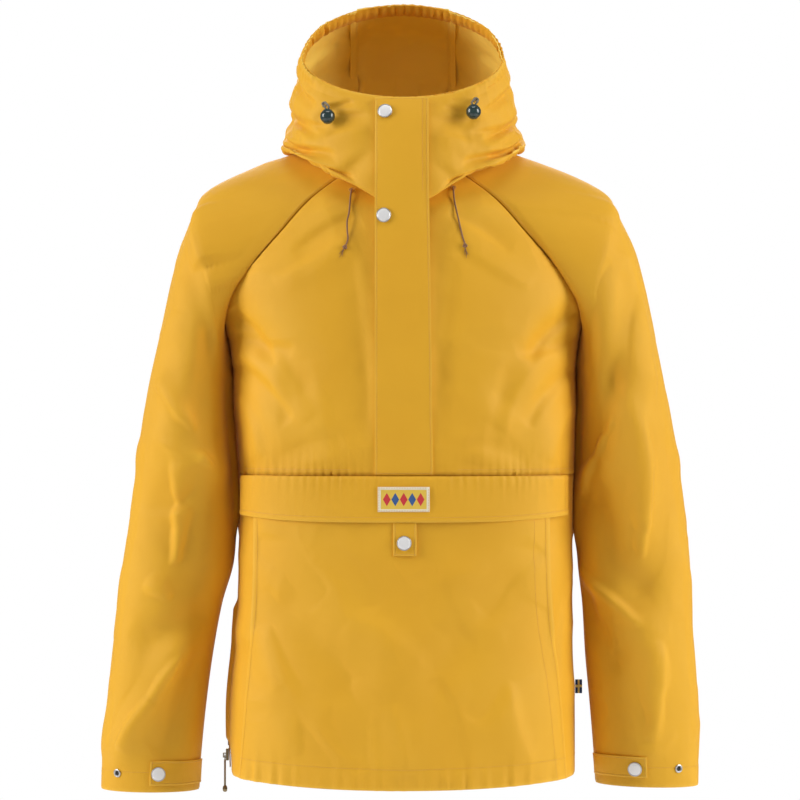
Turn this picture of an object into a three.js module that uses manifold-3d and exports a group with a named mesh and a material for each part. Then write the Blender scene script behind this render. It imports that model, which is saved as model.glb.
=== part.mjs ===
// Anorak pullover in the form it has when worn, with no wearer in it.
// Millimetres, +Z up. The front faces -Y, the wearer's left side is +X.
// The origin is between the shoulders, at the base of the neck.
import * as THREE from 'three';
import Module from 'manifold-3d';
import { mergeVertices } from 'three/addons/utils/BufferGeometryUtils.js';

const wasm = await Module();
wasm.setup();

const { PI, abs, asin, cos, exp, hypot, sin, sign } = Math;
const { lerp, smoothstep, clamp } = THREE.MathUtils;
const vec = (x, y, z) => new THREE.Vector3(x, y, z);

// Cloth and seams
const CLOTH = 1.6;
const SEAM = 0.4;
const LAYER = CLOTH + 0.5;

// Heights of the seams that run across the body
const UNDERARM = -215;
const HEM = -722;
const CHEST_SEAM = -364;

// Neckline: half width, depths at the middle of the body, and for the front and back panels the height and
// half width at the raglan seam and how much lower the middle dips
const NECK = { half: 88, front: 96, back: 80, frontSeam: -6, backSeam: 38 };
const FRONT_NECK = { half: 68, dip: 34 };
const BACK_NECK = { half: 60, dip: 10 };

// Front of the body, one row for each height at its side or raglan seam. "seam" is how far out that seam
// lies, "drop" how much lower the middle is, "round" how square the section is, "shift" its middle.
const FRONT = [
  { z: HEM, half: 206, depth: 126, seam: 206, drop: 9, round: 2.5, shift: 0 },
  { z: -640, half: 207, depth: 129, seam: 207, drop: 6, round: 2.5, shift: -1 },
  { z: -560, half: 202, depth: 129, seam: 202, drop: 3, round: 2.5, shift: 1 },
  { z: -470, half: 200, depth: 130, seam: 200, drop: 0, round: 2.5, shift: 3 },
  { z: -400, half: 199, depth: 131, seam: 199, drop: 0, round: 2.5, shift: 4 },
  { z: -300, half: 203, depth: 133, seam: 203, drop: 0, round: 2.5, shift: 3 },
  { z: UNDERARM, half: 208, depth: 132, seam: 208, drop: 0, round: 2.4, shift: 1 },
  { z: -172, half: 219, depth: 130, seam: 213, drop: 0, round: 2.4, shift: 0 },
  { z: -141, half: 222, depth: 127, seam: 200, drop: 1, round: 2.35, shift: 0 },
  { z: -112, half: 214, depth: 123, seam: 175, drop: 3, round: 2.3, shift: 0 },
  { z: -76, half: 188, depth: 116, seam: 143, drop: 7, round: 2.25, shift: 0 },
  { z: -38, half: 150, depth: 106, seam: 109, drop: 14, round: 2.2, shift: 0 },
  {
    z: NECK.frontSeam, half: NECK.half, depth: NECK.front,
    seam: FRONT_NECK.half, drop: FRONT_NECK.dip, round: 2, shift: 0,
  },
];

// Back of the body, in the same columns
const BACK = [
  { z: HEM, half: 206, depth: 116, seam: 206, drop: 9, round: 2.5, shift: 0 },
  { z: -640, half: 207, depth: 117, seam: 207, drop: 6, round: 2.5, shift: -1 },
  { z: -560, half: 202, depth: 113, seam: 202, drop: 3, round: 2.5, shift: 1 },
  { z: -470, half: 200, depth: 108, seam: 200, drop: 0, round: 2.5, shift: 3 },
  { z: -400, half: 199, depth: 108, seam: 199, drop: 0, round: 2.5, shift: 4 },
  { z: -300, half: 203, depth: 114, seam: 203, drop: 0, round: 2.5, shift: 3 },
  { z: UNDERARM, half: 208, depth: 120, seam: 208, drop: 0, round: 2.4, shift: 1 },
  { z: -172, half: 217, depth: 123, seam: 205, drop: 0, round: 2.4, shift: 0 },
  { z: -141, half: 215, depth: 124, seam: 190, drop: 0, round: 2.35, shift: 0 },
  { z: -108, half: 203, depth: 123, seam: 166, drop: 0, round: 2.3, shift: 0 },
  { z: -70, half: 182, depth: 119, seam: 139, drop: 0, round: 2.25, shift: 0 },
  { z: -30, half: 150, depth: 110, seam: 108, drop: 2, round: 2.2, shift: 0 },
  { z: 6, half: 115, depth: 97, seam: 80, drop: 5, round: 2.1, shift: 0 },
  {
    z: NECK.backSeam, half: NECK.half, depth: NECK.back,
    seam: BACK_NECK.half, drop: BACK_NECK.dip, round: 2, shift: 0,
  },
];

// Sleeves, one row for each ring below the raglan seam: its point next to the body, its outermost point,
// and how far it reaches forward and back. x is counted outwards.
const SLEEVE = {
  right: [
    { inX: 209.5, inZ: -245, outX: 245, outZ: -38, front: 84, back: 84 },
    { inX: 209, inZ: -275, outX: 272, outZ: -112, front: 88, back: 87 },
    { inX: 206.5, inZ: -315, outX: 291, outZ: -196, front: 88, back: 87 },
    { inX: 202.5, inZ: -365, outX: 308, outZ: -276, front: 84, back: 83 },
    { inX: 200, inZ: -415, outX: 322, outZ: -376, front: 77, back: 76 },
    { inX: 203, inZ: -470, outX: 334, outZ: -460, front: 70, back: 69 },
    { inX: 217, inZ: -520, outX: 342, outZ: -520, front: 65, back: 63 },
    { inX: 228, inZ: -580, outX: 350, outZ: -590, front: 59, back: 57 },
    { inX: 236, inZ: -640, outX: 356, outZ: -650, front: 54, back: 52 },
    { inX: 242, inZ: -700, outX: 360, outZ: -700, front: 50, back: 48 },
    { inX: 244.5, inZ: -742, outX: 361.5, outZ: -741, front: 48, back: 46 },
  ],
  left: [
    { inX: 212, inZ: -245, outX: 249, outZ: -38, front: 84, back: 84 },
    { inX: 212, inZ: -275, outX: 281, outZ: -108, front: 88, back: 87 },
    { inX: 210.5, inZ: -315, outX: 301, outZ: -196, front: 88, back: 87 },
    { inX: 209, inZ: -365, outX: 317, outZ: -276, front: 84, back: 83 },
    { inX: 207.5, inZ: -415, outX: 334, outZ: -376, front: 77, back: 76 },
    { inX: 209.5, inZ: -470, outX: 342.5, outZ: -456, front: 70, back: 69 },
    { inX: 215, inZ: -520, outX: 345, outZ: -520, front: 65, back: 63 },
    { inX: 218.5, inZ: -580, outX: 351, outZ: -590, front: 59, back: 57 },
    { inX: 223.5, inZ: -635, outX: 354, outZ: -645, front: 54, back: 52 },
    { inX: 228, inZ: -690, outX: 354.5, outZ: -692, front: 50, back: 48 },
    { inX: 231, inZ: -734, outX: 354, outZ: -737, front: 48, back: 46 },
  ],
};
const SIDE = { right: -1, left: 1 };
const SHOULDER_LIFT = 0.12;
const SHOULDER_BEND = 0.5;
const UNDERARM_BEND = 0.6;

// Hood rings above the neckline: half width, reach forward and back from "mid", heights at the front, side
// and back, and "vee", how sharply the ring dips to the middle of the front.
const HOOD = [
  { half: 144, front: 118, back: 136, mid: 0, zFront: -58, zSide: 24, zBack: 40, vee: 1 },
  { half: 146, front: 122, back: 146, mid: 4, zFront: -18, zSide: 38, zBack: 80, vee: 0.6 },
  { half: 140, front: 118, back: 158, mid: 6, zFront: 24, zSide: 64, zBack: 128, vee: 0.3 },
  { half: 130, front: 100, back: 158, mid: -6, zFront: 56, zSide: 102, zBack: 182, vee: 0.1 },
  { half: 121.5, front: 71, back: 94, mid: -24, zFront: 80, zSide: 134, zBack: 208, vee: 0 },
];
const HOOD_TOP = HOOD.length;
const HOOD_STRIP_HALF = 58;
const HOOD_EDGE_FROM = 4.78;
const EDGE_INSIDE = CLOTH + 1.2;

// Largest folds. Each is a soft trough (depth > 0) or ridge (depth < 0) along a line seen from the front
// or, on the back, from behind: its ends in x and z, its half width and its depth.
const FRONT_FOLDS = [
  { x1: -196, z1: -176, x2: -120, z2: -262, wide: 20, depth: 6 },
  { x1: 196, z1: -176, x2: 118, z2: -270, wide: 20, depth: 6 },
  { x1: -180, z1: -330, x2: -150, z2: -240, wide: 22, depth: -4 },
  { x1: 172, z1: -345, x2: 150, z2: -235, wide: 22, depth: -4 },
  { x1: -130, z1: -520, x2: -60, z2: -600, wide: 26, depth: 5 },
  { x1: 120, z1: -500, x2: 40, z2: -590, wide: 26, depth: 5 },
  { x1: -20, z1: -560, x2: 10, z2: -690, wide: 30, depth: -4 },
];
const BACK_FOLDS = [
  { x1: -190, z1: -190, x2: -90, z2: -290, wide: 24, depth: 7 },
  { x1: 192, z1: -184, x2: 100, z2: -280, wide: 24, depth: 7 },
  { x1: -150, z1: -390, x2: 40, z2: -430, wide: 26, depth: 6 },
  { x1: 160, z1: -440, x2: 10, z2: -480, wide: 26, depth: 5 },
  { x1: -110, z1: -540, x2: -130, z2: -690, wide: 26, depth: -5 },
  { x1: 90, z1: -540, x2: 110, z2: -690, wide: 26, depth: -5 },
];
// On the sleeves "turn" is the place round the ring: 0 by the body, 0.25 front, 0.5 outside, 0.75 back.
// The folds are laid out on the cloth as if it were this far round.
const SLEEVE_ROUND = 400;
const SLEEVE_FOLDS = {
  right: [
    { turn1: 0.32, z1: -120, turn2: 0.19, z2: -190, wide: 20, depth: 8 },
    { turn1: 0.19, z1: -215, turn2: 0.22, z2: -320, wide: 26, depth: 9 },
    { turn1: 0.38, z1: -252, turn2: 0.22, z2: -314, wide: 20, depth: -6 },
    { turn1: 0.34, z1: -318, turn2: 0.13, z2: -358, wide: 22, depth: -6 },
    { turn1: 0.3, z1: -405, turn2: 0.2, z2: -490, wide: 34, depth: 10 },
    { turn1: 0.28, z1: -560, turn2: 0.13, z2: -530, wide: 22, depth: 8 },
    { turn1: 0.18, z1: -578, turn2: 0.35, z2: -690, wide: 22, depth: -7 },
    { turn1: 0.13, z1: -590, turn2: 0.2, z2: -690, wide: 22, depth: 6 },
    { turn1: 0.9, z1: -340, turn2: 0.62, z2: -400, wide: 24, depth: 7 },
    { turn1: 0.88, z1: -480, turn2: 0.6, z2: -450, wide: 24, depth: 7 },
    { turn1: 0.85, z1: -560, turn2: 0.64, z2: -640, wide: 22, depth: -6 },
  ],
  left: [
    { turn1: 0.35, z1: -140, turn2: 0.22, z2: -253, wide: 20, depth: 8 },
    { turn1: 0.22, z1: -253, turn2: 0.13, z2: -330, wide: 24, depth: 9 },
    { turn1: 0.3, z1: -300, turn2: 0.26, z2: -465, wide: 24, depth: -6 },
    { turn1: 0.39, z1: -335, turn2: 0.27, z2: -490, wide: 20, depth: 5 },
    { turn1: 0.13, z1: -400, turn2: 0.235, z2: -500, wide: 28, depth: 9 },
    { turn1: 0.04, z1: -520, turn2: 0.16, z2: -575, wide: 24, depth: 7 },
    { turn1: 0.28, z1: -560, turn2: 0.25, z2: -690, wide: 24, depth: -5 },
    { turn1: 0.92, z1: -330, turn2: 0.66, z2: -380, wide: 24, depth: 7 },
    { turn1: 0.86, z1: -460, turn2: 0.62, z2: -490, wide: 24, depth: 7 },
    { turn1: 0.84, z1: -570, turn2: 0.66, z2: -630, wide: 22, depth: -6 },
  ],
};

// A cubic through the rows of a table, read in column "key" at a place on the column "along"
function read(rows, along, at, key) {
  const rising = rows[rows.length - 1][along] > rows[0][along] ? 1 : -1;
  let i = 0;
  while (i < rows.length - 2 && (at - rows[i + 1][along]) * rising > 0) i += 1;
  const slope = (k) => {
    const low = rows[Math.max(k - 1, 0)];
    const high = rows[Math.min(k + 1, rows.length - 1)];
    return (high[key] - low[key]) / (high[along] - low[along]);
  };
  const [from, to] = [rows[i], rows[i + 1]];
  const span = to[along] - from[along];
  const t = clamp((at - from[along]) / span, 0, 1);
  return hermite(from[key], to[key], slope(i) * span, slope(i + 1) * span, t);
}

function hermite(a, b, slopeA, slopeB, t) {
  const t2 = t * t;
  const t3 = t2 * t;
  return a * (2 * t3 - 3 * t2 + 1) + b * (3 * t2 - 2 * t3) + slopeA * (t3 - 2 * t2 + t) + slopeB * (t3 - t2);
}

function hermitePoint(a, b, slopeA, slopeB, t) {
  return vec(
    hermite(a.x, b.x, slopeA.x, slopeB.x, t),
    hermite(a.y, b.y, slopeA.y, slopeB.y, t),
    hermite(a.z, b.z, slopeA.z, slopeB.z, t),
  );
}

// How deep the folds of a list are at a place: distance to each fold's line, faded past its ends
function foldDepth(folds, x, z) {
  let depth = 0;
  for (const fold of folds) {
    const [dx, dz] = [fold.x2 - fold.x1, fold.z2 - fold.z1];
    const along = ((x - fold.x1) * dx + (z - fold.z1) * dz) / (dx * dx + dz * dz);
    const t = clamp(along, 0, 1);
    const away = hypot(x - fold.x1 - t * dx, z - fold.z1 - t * dz) / fold.wide;
    depth += fold.depth * exp(-away * away);
  }
  return depth;
}

// Outward direction of a surface at(u, v), whose parameters turn by "turn"
function outward(at, u, v, turn) {
  const du = 0.002;
  const across = at(u + du, v).sub(at(u - du, v));
  const along = at(u, v + du).sub(at(u, v - du));
  return across.cross(along).normalize().multiplyScalar(turn);
}

// Body surface. "face" is -1 in front and 1 behind, "across" runs from -1 at the wearer's right seam to 1.
function bodyPoint(rows, face, across, z) {
  const value = (key) => read(rows, 'z', z, key);
  const half = value('half');
  const round = value('round');
  const edge = asin(clamp(value('seam') / half, 0, 1));
  const angle = across * edge;
  const x = half * sin(angle);
  const y = face * value('depth') * (1 - abs(sin(angle)) ** round) ** (1 / round);
  const middle = 1 - (sin(angle) / sin(edge)) ** 2;
  return vec(value('shift') + x, y, z - value('drop') * middle);
}

function bodySurface(rows, face, folds) {
  return (across, z) => {
    const side = clamp(across, -1, 1);
    const height = clamp(z, rows[0].z, rows[rows.length - 1].z);
    const point = bodyPoint(rows, face, side, height);
    const fade = 1 - smoothstep(abs(side), 0.8, 1);
    point.y -= face * foldDepth(folds, point.x, point.z) * fade;
    return point;
  };
}
const front = bodySurface(FRONT, -1, FRONT_FOLDS);
const back = bodySurface(BACK, 1, BACK_FOLDS);

// Where on the front, from -1 to 1, a given x lies at height z
function acrossAt(x, z) {
  const half = read(FRONT, 'z', z, 'half');
  const edge = asin(clamp(read(FRONT, 'z', z, 'seam') / half, 0, 1));
  return asin(clamp((x - read(FRONT, 'z', z, 'shift')) / half, -1, 1)) / edge;
}

// Neckline, by the angle from the middle of the front (0) round over the shoulder to the back (PI)
const NECK_FRONT_ANGLE = asin(FRONT_NECK.half / NECK.half);
const NECK_BACK_ANGLE = PI - asin(BACK_NECK.half / NECK.half);
function neckPoint(angle) {
  const t = abs(angle);
  const x = NECK.half * sin(angle);
  const y = -cos(t) * (t < PI / 2 ? NECK.front : NECK.back);
  const dip = (neck, edge) => neck.dip * (1 - (sin(t) / sin(edge)) ** 2);
  if (t <= NECK_FRONT_ANGLE) return vec(x, y, NECK.frontSeam - dip(FRONT_NECK, NECK_FRONT_ANGLE));
  if (t >= NECK_BACK_ANGLE) return vec(x, y, NECK.backSeam - dip(BACK_NECK, NECK_BACK_ANGLE));
  const span = NECK_BACK_ANGLE - NECK_FRONT_ANGLE;
  const slope = (neck, edge) => (2 * neck.dip * span * cos(edge)) / sin(edge);
  const slopeFront = slope(FRONT_NECK, NECK_FRONT_ANGLE);
  const slopeBack = slope(BACK_NECK, NECK_BACK_ANGLE);
  const at = (t - NECK_FRONT_ANGLE) / span;
  return vec(x, y, hermite(NECK.frontSeam, NECK.backSeam, slopeFront, slopeBack, at));
}

// Raglan ring that a sleeve is sewn to: up the front seam, over the shoulder, down the back seam
const RAGLAN_FRONT = 0.4;
const RAGLAN_BACK = 0.6;
function raglanPoint(side, turn) {
  if (turn < RAGLAN_FRONT) return front(side, lerp(UNDERARM, NECK.frontSeam, turn / RAGLAN_FRONT));
  if (turn > RAGLAN_BACK) return back(side, lerp(UNDERARM, NECK.backSeam, (1 - turn) / (1 - RAGLAN_BACK)));
  const over = (turn - RAGLAN_FRONT) / (RAGLAN_BACK - RAGLAN_FRONT);
  return neckPoint(side * lerp(NECK_FRONT_ANGLE, NECK_BACK_ANGLE, over));
}

function sleeveRing(rows, side, turn, row) {
  const value = (key) => read(rows, 'row', row, key);
  const swing = cos(2 * PI * turn);
  const reach = sin(2 * PI * turn);
  const x = (value('inX') + value('outX')) / 2 + (swing * (value('inX') - value('outX'))) / 2;
  const z = (value('inZ') + value('outZ')) / 2 + (swing * (value('inZ') - value('outZ'))) / 2;
  return vec(side * x, -reach * (reach > 0 ? value('front') : value('back')), z);
}

// Sleeve surface: "turn" round it, "row" down it, 0 at the raglan seam
function sleeveSurface(name) {
  const side = SIDE[name];
  const rows = SLEEVE[name].map((ring, i) => ({ row: i + 1, ...ring }));
  const fromOutside = (turn) => SLEEVE_ROUND * (turn - 0.5);
  const folds = SLEEVE_FOLDS[name].map((fold) => {
    return { ...fold, x1: fromOutside(fold.turn1), x2: fromOutside(fold.turn2) };
  });
  return (turnAny, row) => {
    const turn = turnAny - Math.floor(turnAny);
    if (row >= 1) {
      const point = sleeveRing(rows, side, turn, Math.min(row, rows.length));
      const out = vec(side * -cos(2 * PI * turn), -sin(2 * PI * turn), 0);
      const fade = smoothstep(row, 1, 2) * (1 - smoothstep(row, rows.length - 1, rows.length));
      const clear = smoothstep(abs(turn - 0.5), 0.5, 0.42);
      return point.addScaledVector(out, -foldDepth(folds, fromOutside(turn), point.z) * fade * clear);
    }
    const start = raglanPoint(side, turn);
    const end = sleeveRing(rows, side, turn, 1);
    const next = sleeveRing(rows, side, turn, 1.1);
    const chord = end.clone().sub(start);
    const lead = chord.clone();
    const overShoulder = smoothstep(turn, 0.3, 0.5) * (1 - smoothstep(turn, 0.5, 0.7));
    lead.z += SHOULDER_LIFT * chord.length() * overShoulder;
    const bend = lerp(UNDERARM_BEND, SHOULDER_BEND, overShoulder);
    const arrive = next.sub(end).normalize().multiplyScalar(bend * chord.length());
    return hermitePoint(start, end, lead, arrive, Math.max(row, 0));
  };
}
const sleeves = { right: sleeveSurface('right'), left: sleeveSurface('left') };
const CUFF_ROW = SLEEVE.left.length;

// Hood surface: "angle" as on the neckline, "row" up from it, HOOD_TOP at the face opening
function hoodRing(angle, index) {
  if (index <= 0) return neckPoint(angle).add(vec(0, 0, 1));
  const ring = HOOD[Math.min(index, HOOD_TOP) - 1];
  const t = abs(angle);
  const x = ring.half * sin(angle);
  const y = ring.mid - cos(t) * (t < PI / 2 ? ring.front : ring.back);
  const end = t < PI / 2 ? ring.zFront : ring.zBack;
  const rise = lerp(1 - abs(cos(t)), sin(t), ring.vee);
  return vec(x, y, end + (ring.zSide - end) * rise);
}
function hood(angleAny, row) {
  const angle = angleAny > PI ? angleAny - 2 * PI : angleAny;
  const from = clamp(Math.floor(row), 0, HOOD_TOP - 1);
  const [before, a, b, after] = [-1, 0, 1, 2].map((step) => hoodRing(angle, from + step));
  const slopeA = from === 0 ? b.clone().sub(a) : b.clone().sub(before).multiplyScalar(0.5);
  const slopeB = from === HOOD_TOP - 1 ? b.clone().sub(a) : after.sub(a).multiplyScalar(0.5);
  return hermitePoint(a, b, slopeA, slopeB, clamp(row - from, 0, 1));
}

// A cloth wall over rows of outer points and their outward directions. "wrap" joins each row's ends.
function wall(rows, thickness, wrap, turn) {
  const [tall, wide] = [rows.length, rows[0].length];
  const places = [];
  for (const row of rows) for (const { p } of row) places.push(p.x, p.y, p.z);
  for (const row of rows) {
    for (const { p, n } of row) {
      const inner = p.clone().addScaledVector(n, -thickness);
      places.push(inner.x, inner.y, inner.z);
    }
  }
  const inside = tall * wide;
  const at = (j, i) => j * wide + (i % wide);
  const faces = [];
  const quad = (a, b, c, d) => {
    if (turn > 0) faces.push(a, b, c, a, c, d);
    else faces.push(a, c, b, a, d, c);
  };
  const last = wrap ? wide : wide - 1;
  for (let j = 0; j < tall - 1; j += 1) {
    for (let i = 0; i < last; i += 1) {
      const [a, b, c, d] = [at(j, i), at(j, i + 1), at(j + 1, i + 1), at(j + 1, i)];
      quad(a, b, c, d);
      quad(a + inside, d + inside, c + inside, b + inside);
    }
  }
  for (let i = 0; i < last; i += 1) {
    const [a, b] = [at(0, i), at(0, i + 1)];
    const [c, d] = [at(tall - 1, i), at(tall - 1, i + 1)];
    quad(a, a + inside, b + inside, b);
    quad(c, d, d + inside, c + inside);
  }
  for (let j = 0; j < tall - 1 && !wrap; j += 1) {
    const [a, b] = [at(j, 0), at(j + 1, 0)];
    const [c, d] = [at(j, wide - 1), at(j + 1, wide - 1)];
    quad(a, b, b + inside, a + inside);
    quad(c, c + inside, d + inside, d);
  }
  const geometry = new THREE.BufferGeometry();
  geometry.setAttribute('position', new THREE.Float32BufferAttribute(places, 3));
  geometry.setIndex(faces);
  return geometry;
}

// Rows of outer points over a surface, between the limits of u at each v, moved out by "lift"
function sample(at, us, vs, turn, lift = 0) {
  return vs.map((v) => us(v).map((u) => {
    const n = outward(at, u, v, turn);
    const height = typeof lift === 'function' ? lift(u, v) : lift;
    return { p: at(u, v).addScaledVector(n, height), n };
  }));
}
const steps = (from, to, count) => Array.from({ length: count + 1 }, (_, i) => lerp(from, to, i / count));
const ringTurns = (count) => Array.from({ length: count }, (_, i) => i / count);

const FABRIC = new THREE.Color(0xe0a02c);
const cloth = () => new THREE.MeshStandardMaterial({ color: FABRIC, roughness: 0.62, metalness: 0 });
const metal = () => new THREE.MeshStandardMaterial({ color: 0xc9ccd0, roughness: 0.32, metalness: 1 });
const label = () => new THREE.MeshStandardMaterial({ color: 0xece2c0, roughness: 0.8, metalness: 0 });
const plastic = () => new THREE.MeshStandardMaterial({ color: 0x1d3a36, roughness: 0.3, metalness: 0 });
const cord = (color) => new THREE.MeshStandardMaterial({ color, roughness: 0.8, metalness: 0 });

const anorak = new THREE.Group();
function add(name, geometry, material = cloth()) {
  const mesh = new THREE.Mesh(geometry, material);
  mesh.name = name;
  anorak.add(mesh);
  return mesh;
}

// Body panels. Above the underarm their rows match the points round the sleeves.
const RAGLAN_GAP = SEAM / 100;
const SIDE_GAP = 0.0004;
const edgeStep = (z) => (z < UNDERARM ? SIDE_GAP : RAGLAN_GAP);
const SLEEVE_TURNS = 20;
const RAGLAN_STEPS = SLEEVE_TURNS * RAGLAN_FRONT;
const fullWidth = (z) => steps(-1 + edgeStep(z), 1 - edgeStep(z), 20);
function raglanHeights(top) {
  return steps(UNDERARM, top, RAGLAN_STEPS).slice(1).map((z) => (z === top ? z - SEAM : z));
}
function addChest(name, side) {
  const ends = (z) => (side < 0 ? [-1 + edgeStep(z), -RAGLAN_GAP] : [RAGLAN_GAP, 1 - edgeStep(z)]);
  const heights = [...steps(CHEST_SEAM + SEAM, UNDERARM, 6), ...raglanHeights(NECK.frontSeam)];
  add(name, wall(sample(front, (z) => steps(...ends(z), 10), heights, 1), CLOTH, false, 1));
}
function addLowerFront() {
  const heights = steps(HEM, CHEST_SEAM, 14);
  add('front_lower', wall(sample(front, fullWidth, heights, 1), CLOTH, false, 1));
}
function addBack() {
  const heights = [...steps(HEM, UNDERARM, 17), ...raglanHeights(NECK.backSeam)];
  add('back', wall(sample(back, fullWidth, heights, -1), CLOTH, false, -1));
}

// Sleeves. The first ring leans on the body's own outward direction, so that both walls meet edge to edge.
const CAP_ROWS = [0.05, 0.18, 0.34, 0.52, 0.7, 0.86];
const SLEEVE_ROWS = 24;
const BESIDE_SEAM = 0.97;
function addSleeve(name) {
  const side = SIDE[name];
  const at = sleeves[name];
  const rows = [...CAP_ROWS, ...steps(1, CUFF_ROW, SLEEVE_ROWS)];
  const points = sample(at, () => ringTurns(SLEEVE_TURNS), rows, -side);
  for (const [i, turn] of ringTurns(SLEEVE_TURNS).entries()) {
    const height = turn < 0.5 ? turn / RAGLAN_FRONT : (1 - turn) / (1 - RAGLAN_BACK);
    if (height > 1) continue;
    const surface = turn < 0.5 ? front : back;
    const top = turn < 0.5 ? NECK.frontSeam : NECK.backSeam;
    const n = outward(surface, side * BESIDE_SEAM, lerp(UNDERARM, top, height), turn < 0.5 ? 1 : -1);
    points[0][i].n.lerp(n, smoothstep(height, 0.02, 0.3)).normalize();
  }
  add(`sleeve_${name}`, wall(points, CLOTH, true, -side));
}

// Hood: two sides that meet under the storm flap, a strip over the crown, and the turned-in edge
const stripAngle = (row) => PI - asin(HOOD_STRIP_HALF / Math.max(hood(PI / 2, row).x, HOOD_STRIP_HALF + 1));
const hoodRows = [0.03, 0.3, 0.65, 1, 1.5, 2, 2.6, 3.2, 3.8, 4.4, HOOD_TOP];
const HOOD_GAP = 0.005;
function addHoodSide(name, side) {
  const angles = (row) => steps(HOOD_GAP, stripAngle(row) - HOOD_GAP, 12).map((t) => side * t);
  add(name, wall(sample(hood, angles, hoodRows, 1), CLOTH, false, side));
}
function addHoodStrip() {
  const angles = (row) => steps(stripAngle(row), 2 * PI - stripAngle(row), 5);
  add('hood_centre', wall(sample(hood, angles, hoodRows, 1), CLOTH, false, 1));
}
const HOOD_EDGE_TURNS = 44;
function addHoodEdge() {
  const angles = ringTurns(HOOD_EDGE_TURNS).map((t) => t * 2 * PI);
  const rows = sample(hood, () => angles, [HOOD_EDGE_FROM, 4.9, HOOD_TOP], 1, -EDGE_INSIDE);
  add('hood_edge', wall(rows, CLOTH, true, 1));
}

// What lies on the front is placed by x and z: the surface is searched for that place.
function onFront(x, z, lift = 0) {
  let height = z;
  for (let i = 0; i < 6; i += 1) height += z - front(acrossAt(x, height), height).z;
  const across = acrossAt(x, height);
  const n = outward(front, across, height, 1);
  return { p: front(across, height).addScaledVector(n, lift), n };
}
const HOOD_SEARCH = { angle: 0.7, row: 4, perAngle: 200, perRow: 80, tries: 40 };
function onHood(x, z, lift = 0) {
  let [angle, row] = [sign(x) * HOOD_SEARCH.angle, HOOD_SEARCH.row];
  for (let i = 0; i < HOOD_SEARCH.tries; i += 1) {
    const point = hood(angle, row);
    angle += (x - point.x) / HOOD_SEARCH.perAngle;
    row += (z - point.z) / HOOD_SEARCH.perRow;
  }
  const n = outward(hood, angle, row, 1);
  return { p: hood(angle, row).addScaledVector(n, lift), n };
}
function onSleeve(name, turn, row, lift = 0) {
  const n = outward(sleeves[name], turn, row, -SIDE[name]);
  return { p: sleeves[name](turn, row).addScaledVector(n, lift), n };
}

// Storm flap, free along the wearer's right edge: edges and how far forward it lies, from pocket to hood
const FLAP = [
  { z: CHEST_SEAM + SEAM, right: -33, left: 35, y: -134.1, bow: 1 },
  { z: -300, right: -33, left: 34, y: -135.4, bow: 0.9 },
  { z: -215, right: -33, left: 33, y: -134.7, bow: 1 },
  { z: -141, right: -33, left: 32, y: -131.5, bow: 1 },
  { z: -83, right: -33, left: 31, y: -126.5, bow: 1.5 },
  { z: -50, right: -33, left: 30.5, y: -124, bow: 2 },
  { z: -10, right: -33, left: 30, y: -122.5, bow: 2.5 },
  { z: 30, right: -33, left: 30, y: -117, bow: 3 },
  { z: 58, right: -33, left: 30, y: -111, bow: 3 },
  { z: 79, right: -33, left: 30, y: -102, bow: 3 },
];
function flap(across, z) {
  const value = (key) => read(FLAP, 'z', z, key);
  const x = lerp(value('right'), value('left'), (across + 1) / 2);
  return vec(x, value('y') + value('bow') * across * across, z);
}
function addStormFlap() {
  const heights = steps(FLAP[0].z, FLAP[FLAP.length - 1].z, 22);
  add('storm_flap', wall(sample(flap, () => steps(-1, 1, 3), heights, 1), CLOTH, false, 1));
}

// Kangaroo pocket, its flap, the closing tab and the patch, each on the one beneath
const POCKET = [
  { z: HEM + 1, right: -192, left: 192 },
  { z: -600, right: -182, left: 182 },
  { z: -540, right: -176, left: 174 },
  { z: -480, right: -173, left: 170 },
  { z: CHEST_SEAM - 6, right: -172, left: 168 },
];
const FLAP_BAND = { right: -188, left: 190, top: CHEST_SEAM - SEAM, middle: -418, ends: -411 };
const TAB = { right: -11.5, left: 15.5, bottom: -457 };
const PATCH_THICK = 1.1;
const POCKET_LIFT = 3.6;
const FLAP_LIFT = 6.8;
const TAB_LIFT = LAYER + 0.5;
const PATCH = { right: -29, left: 30.5, top: -376.5, bottom: -405.5 };
function onFrontGrid(limits, heights, columns, lift) {
  const us = (z) => {
    const { right, left } = limits(z);
    return steps(acrossAt(right, z), acrossAt(left, z), columns);
  };
  return wall(sample(front, us, heights, 1, lift), CLOTH, false, 1);
}
function addPocket() {
  const limits = (z) => ({ right: read(POCKET, 'z', z, 'right'), left: read(POCKET, 'z', z, 'left') });
  add('pocket_panel', onFrontGrid(limits, steps(POCKET[0].z, POCKET[4].z, 12), 14, POCKET_LIFT));
  const bandBottom = (x) => lerp(FLAP_BAND.middle, FLAP_BAND.ends, (x / FLAP_BAND.left) ** 4);
  const band = [0, 0.5, 1].map((down) => steps(FLAP_BAND.right, FLAP_BAND.left, 22).map((x) => {
    return onFront(x, lerp(bandBottom(x), FLAP_BAND.top, down), FLAP_LIFT);
  }));
  add('pocket_flap', wall(band, CLOTH, false, 1));
  const rectangle = (piece, lift, thick, columns) => {
    const rows = [piece.bottom, (piece.bottom + piece.top) / 2, piece.top].map((z) => {
      return steps(piece.right, piece.left, columns).map((x) => onFront(x, z, lift));
    });
    return wall(rows, thick, false, 1);
  };
  const tabTop = bandBottom(0) - SEAM;
  add('pocket_tab', rectangle({ ...TAB, top: tabTop }, POCKET_LIFT + LAYER, CLOTH, 3));
  add('patch', rectangle(PATCH, FLAP_LIFT + PATCH_THICK + SEAM, PATCH_THICK, 4), label());
}

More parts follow.
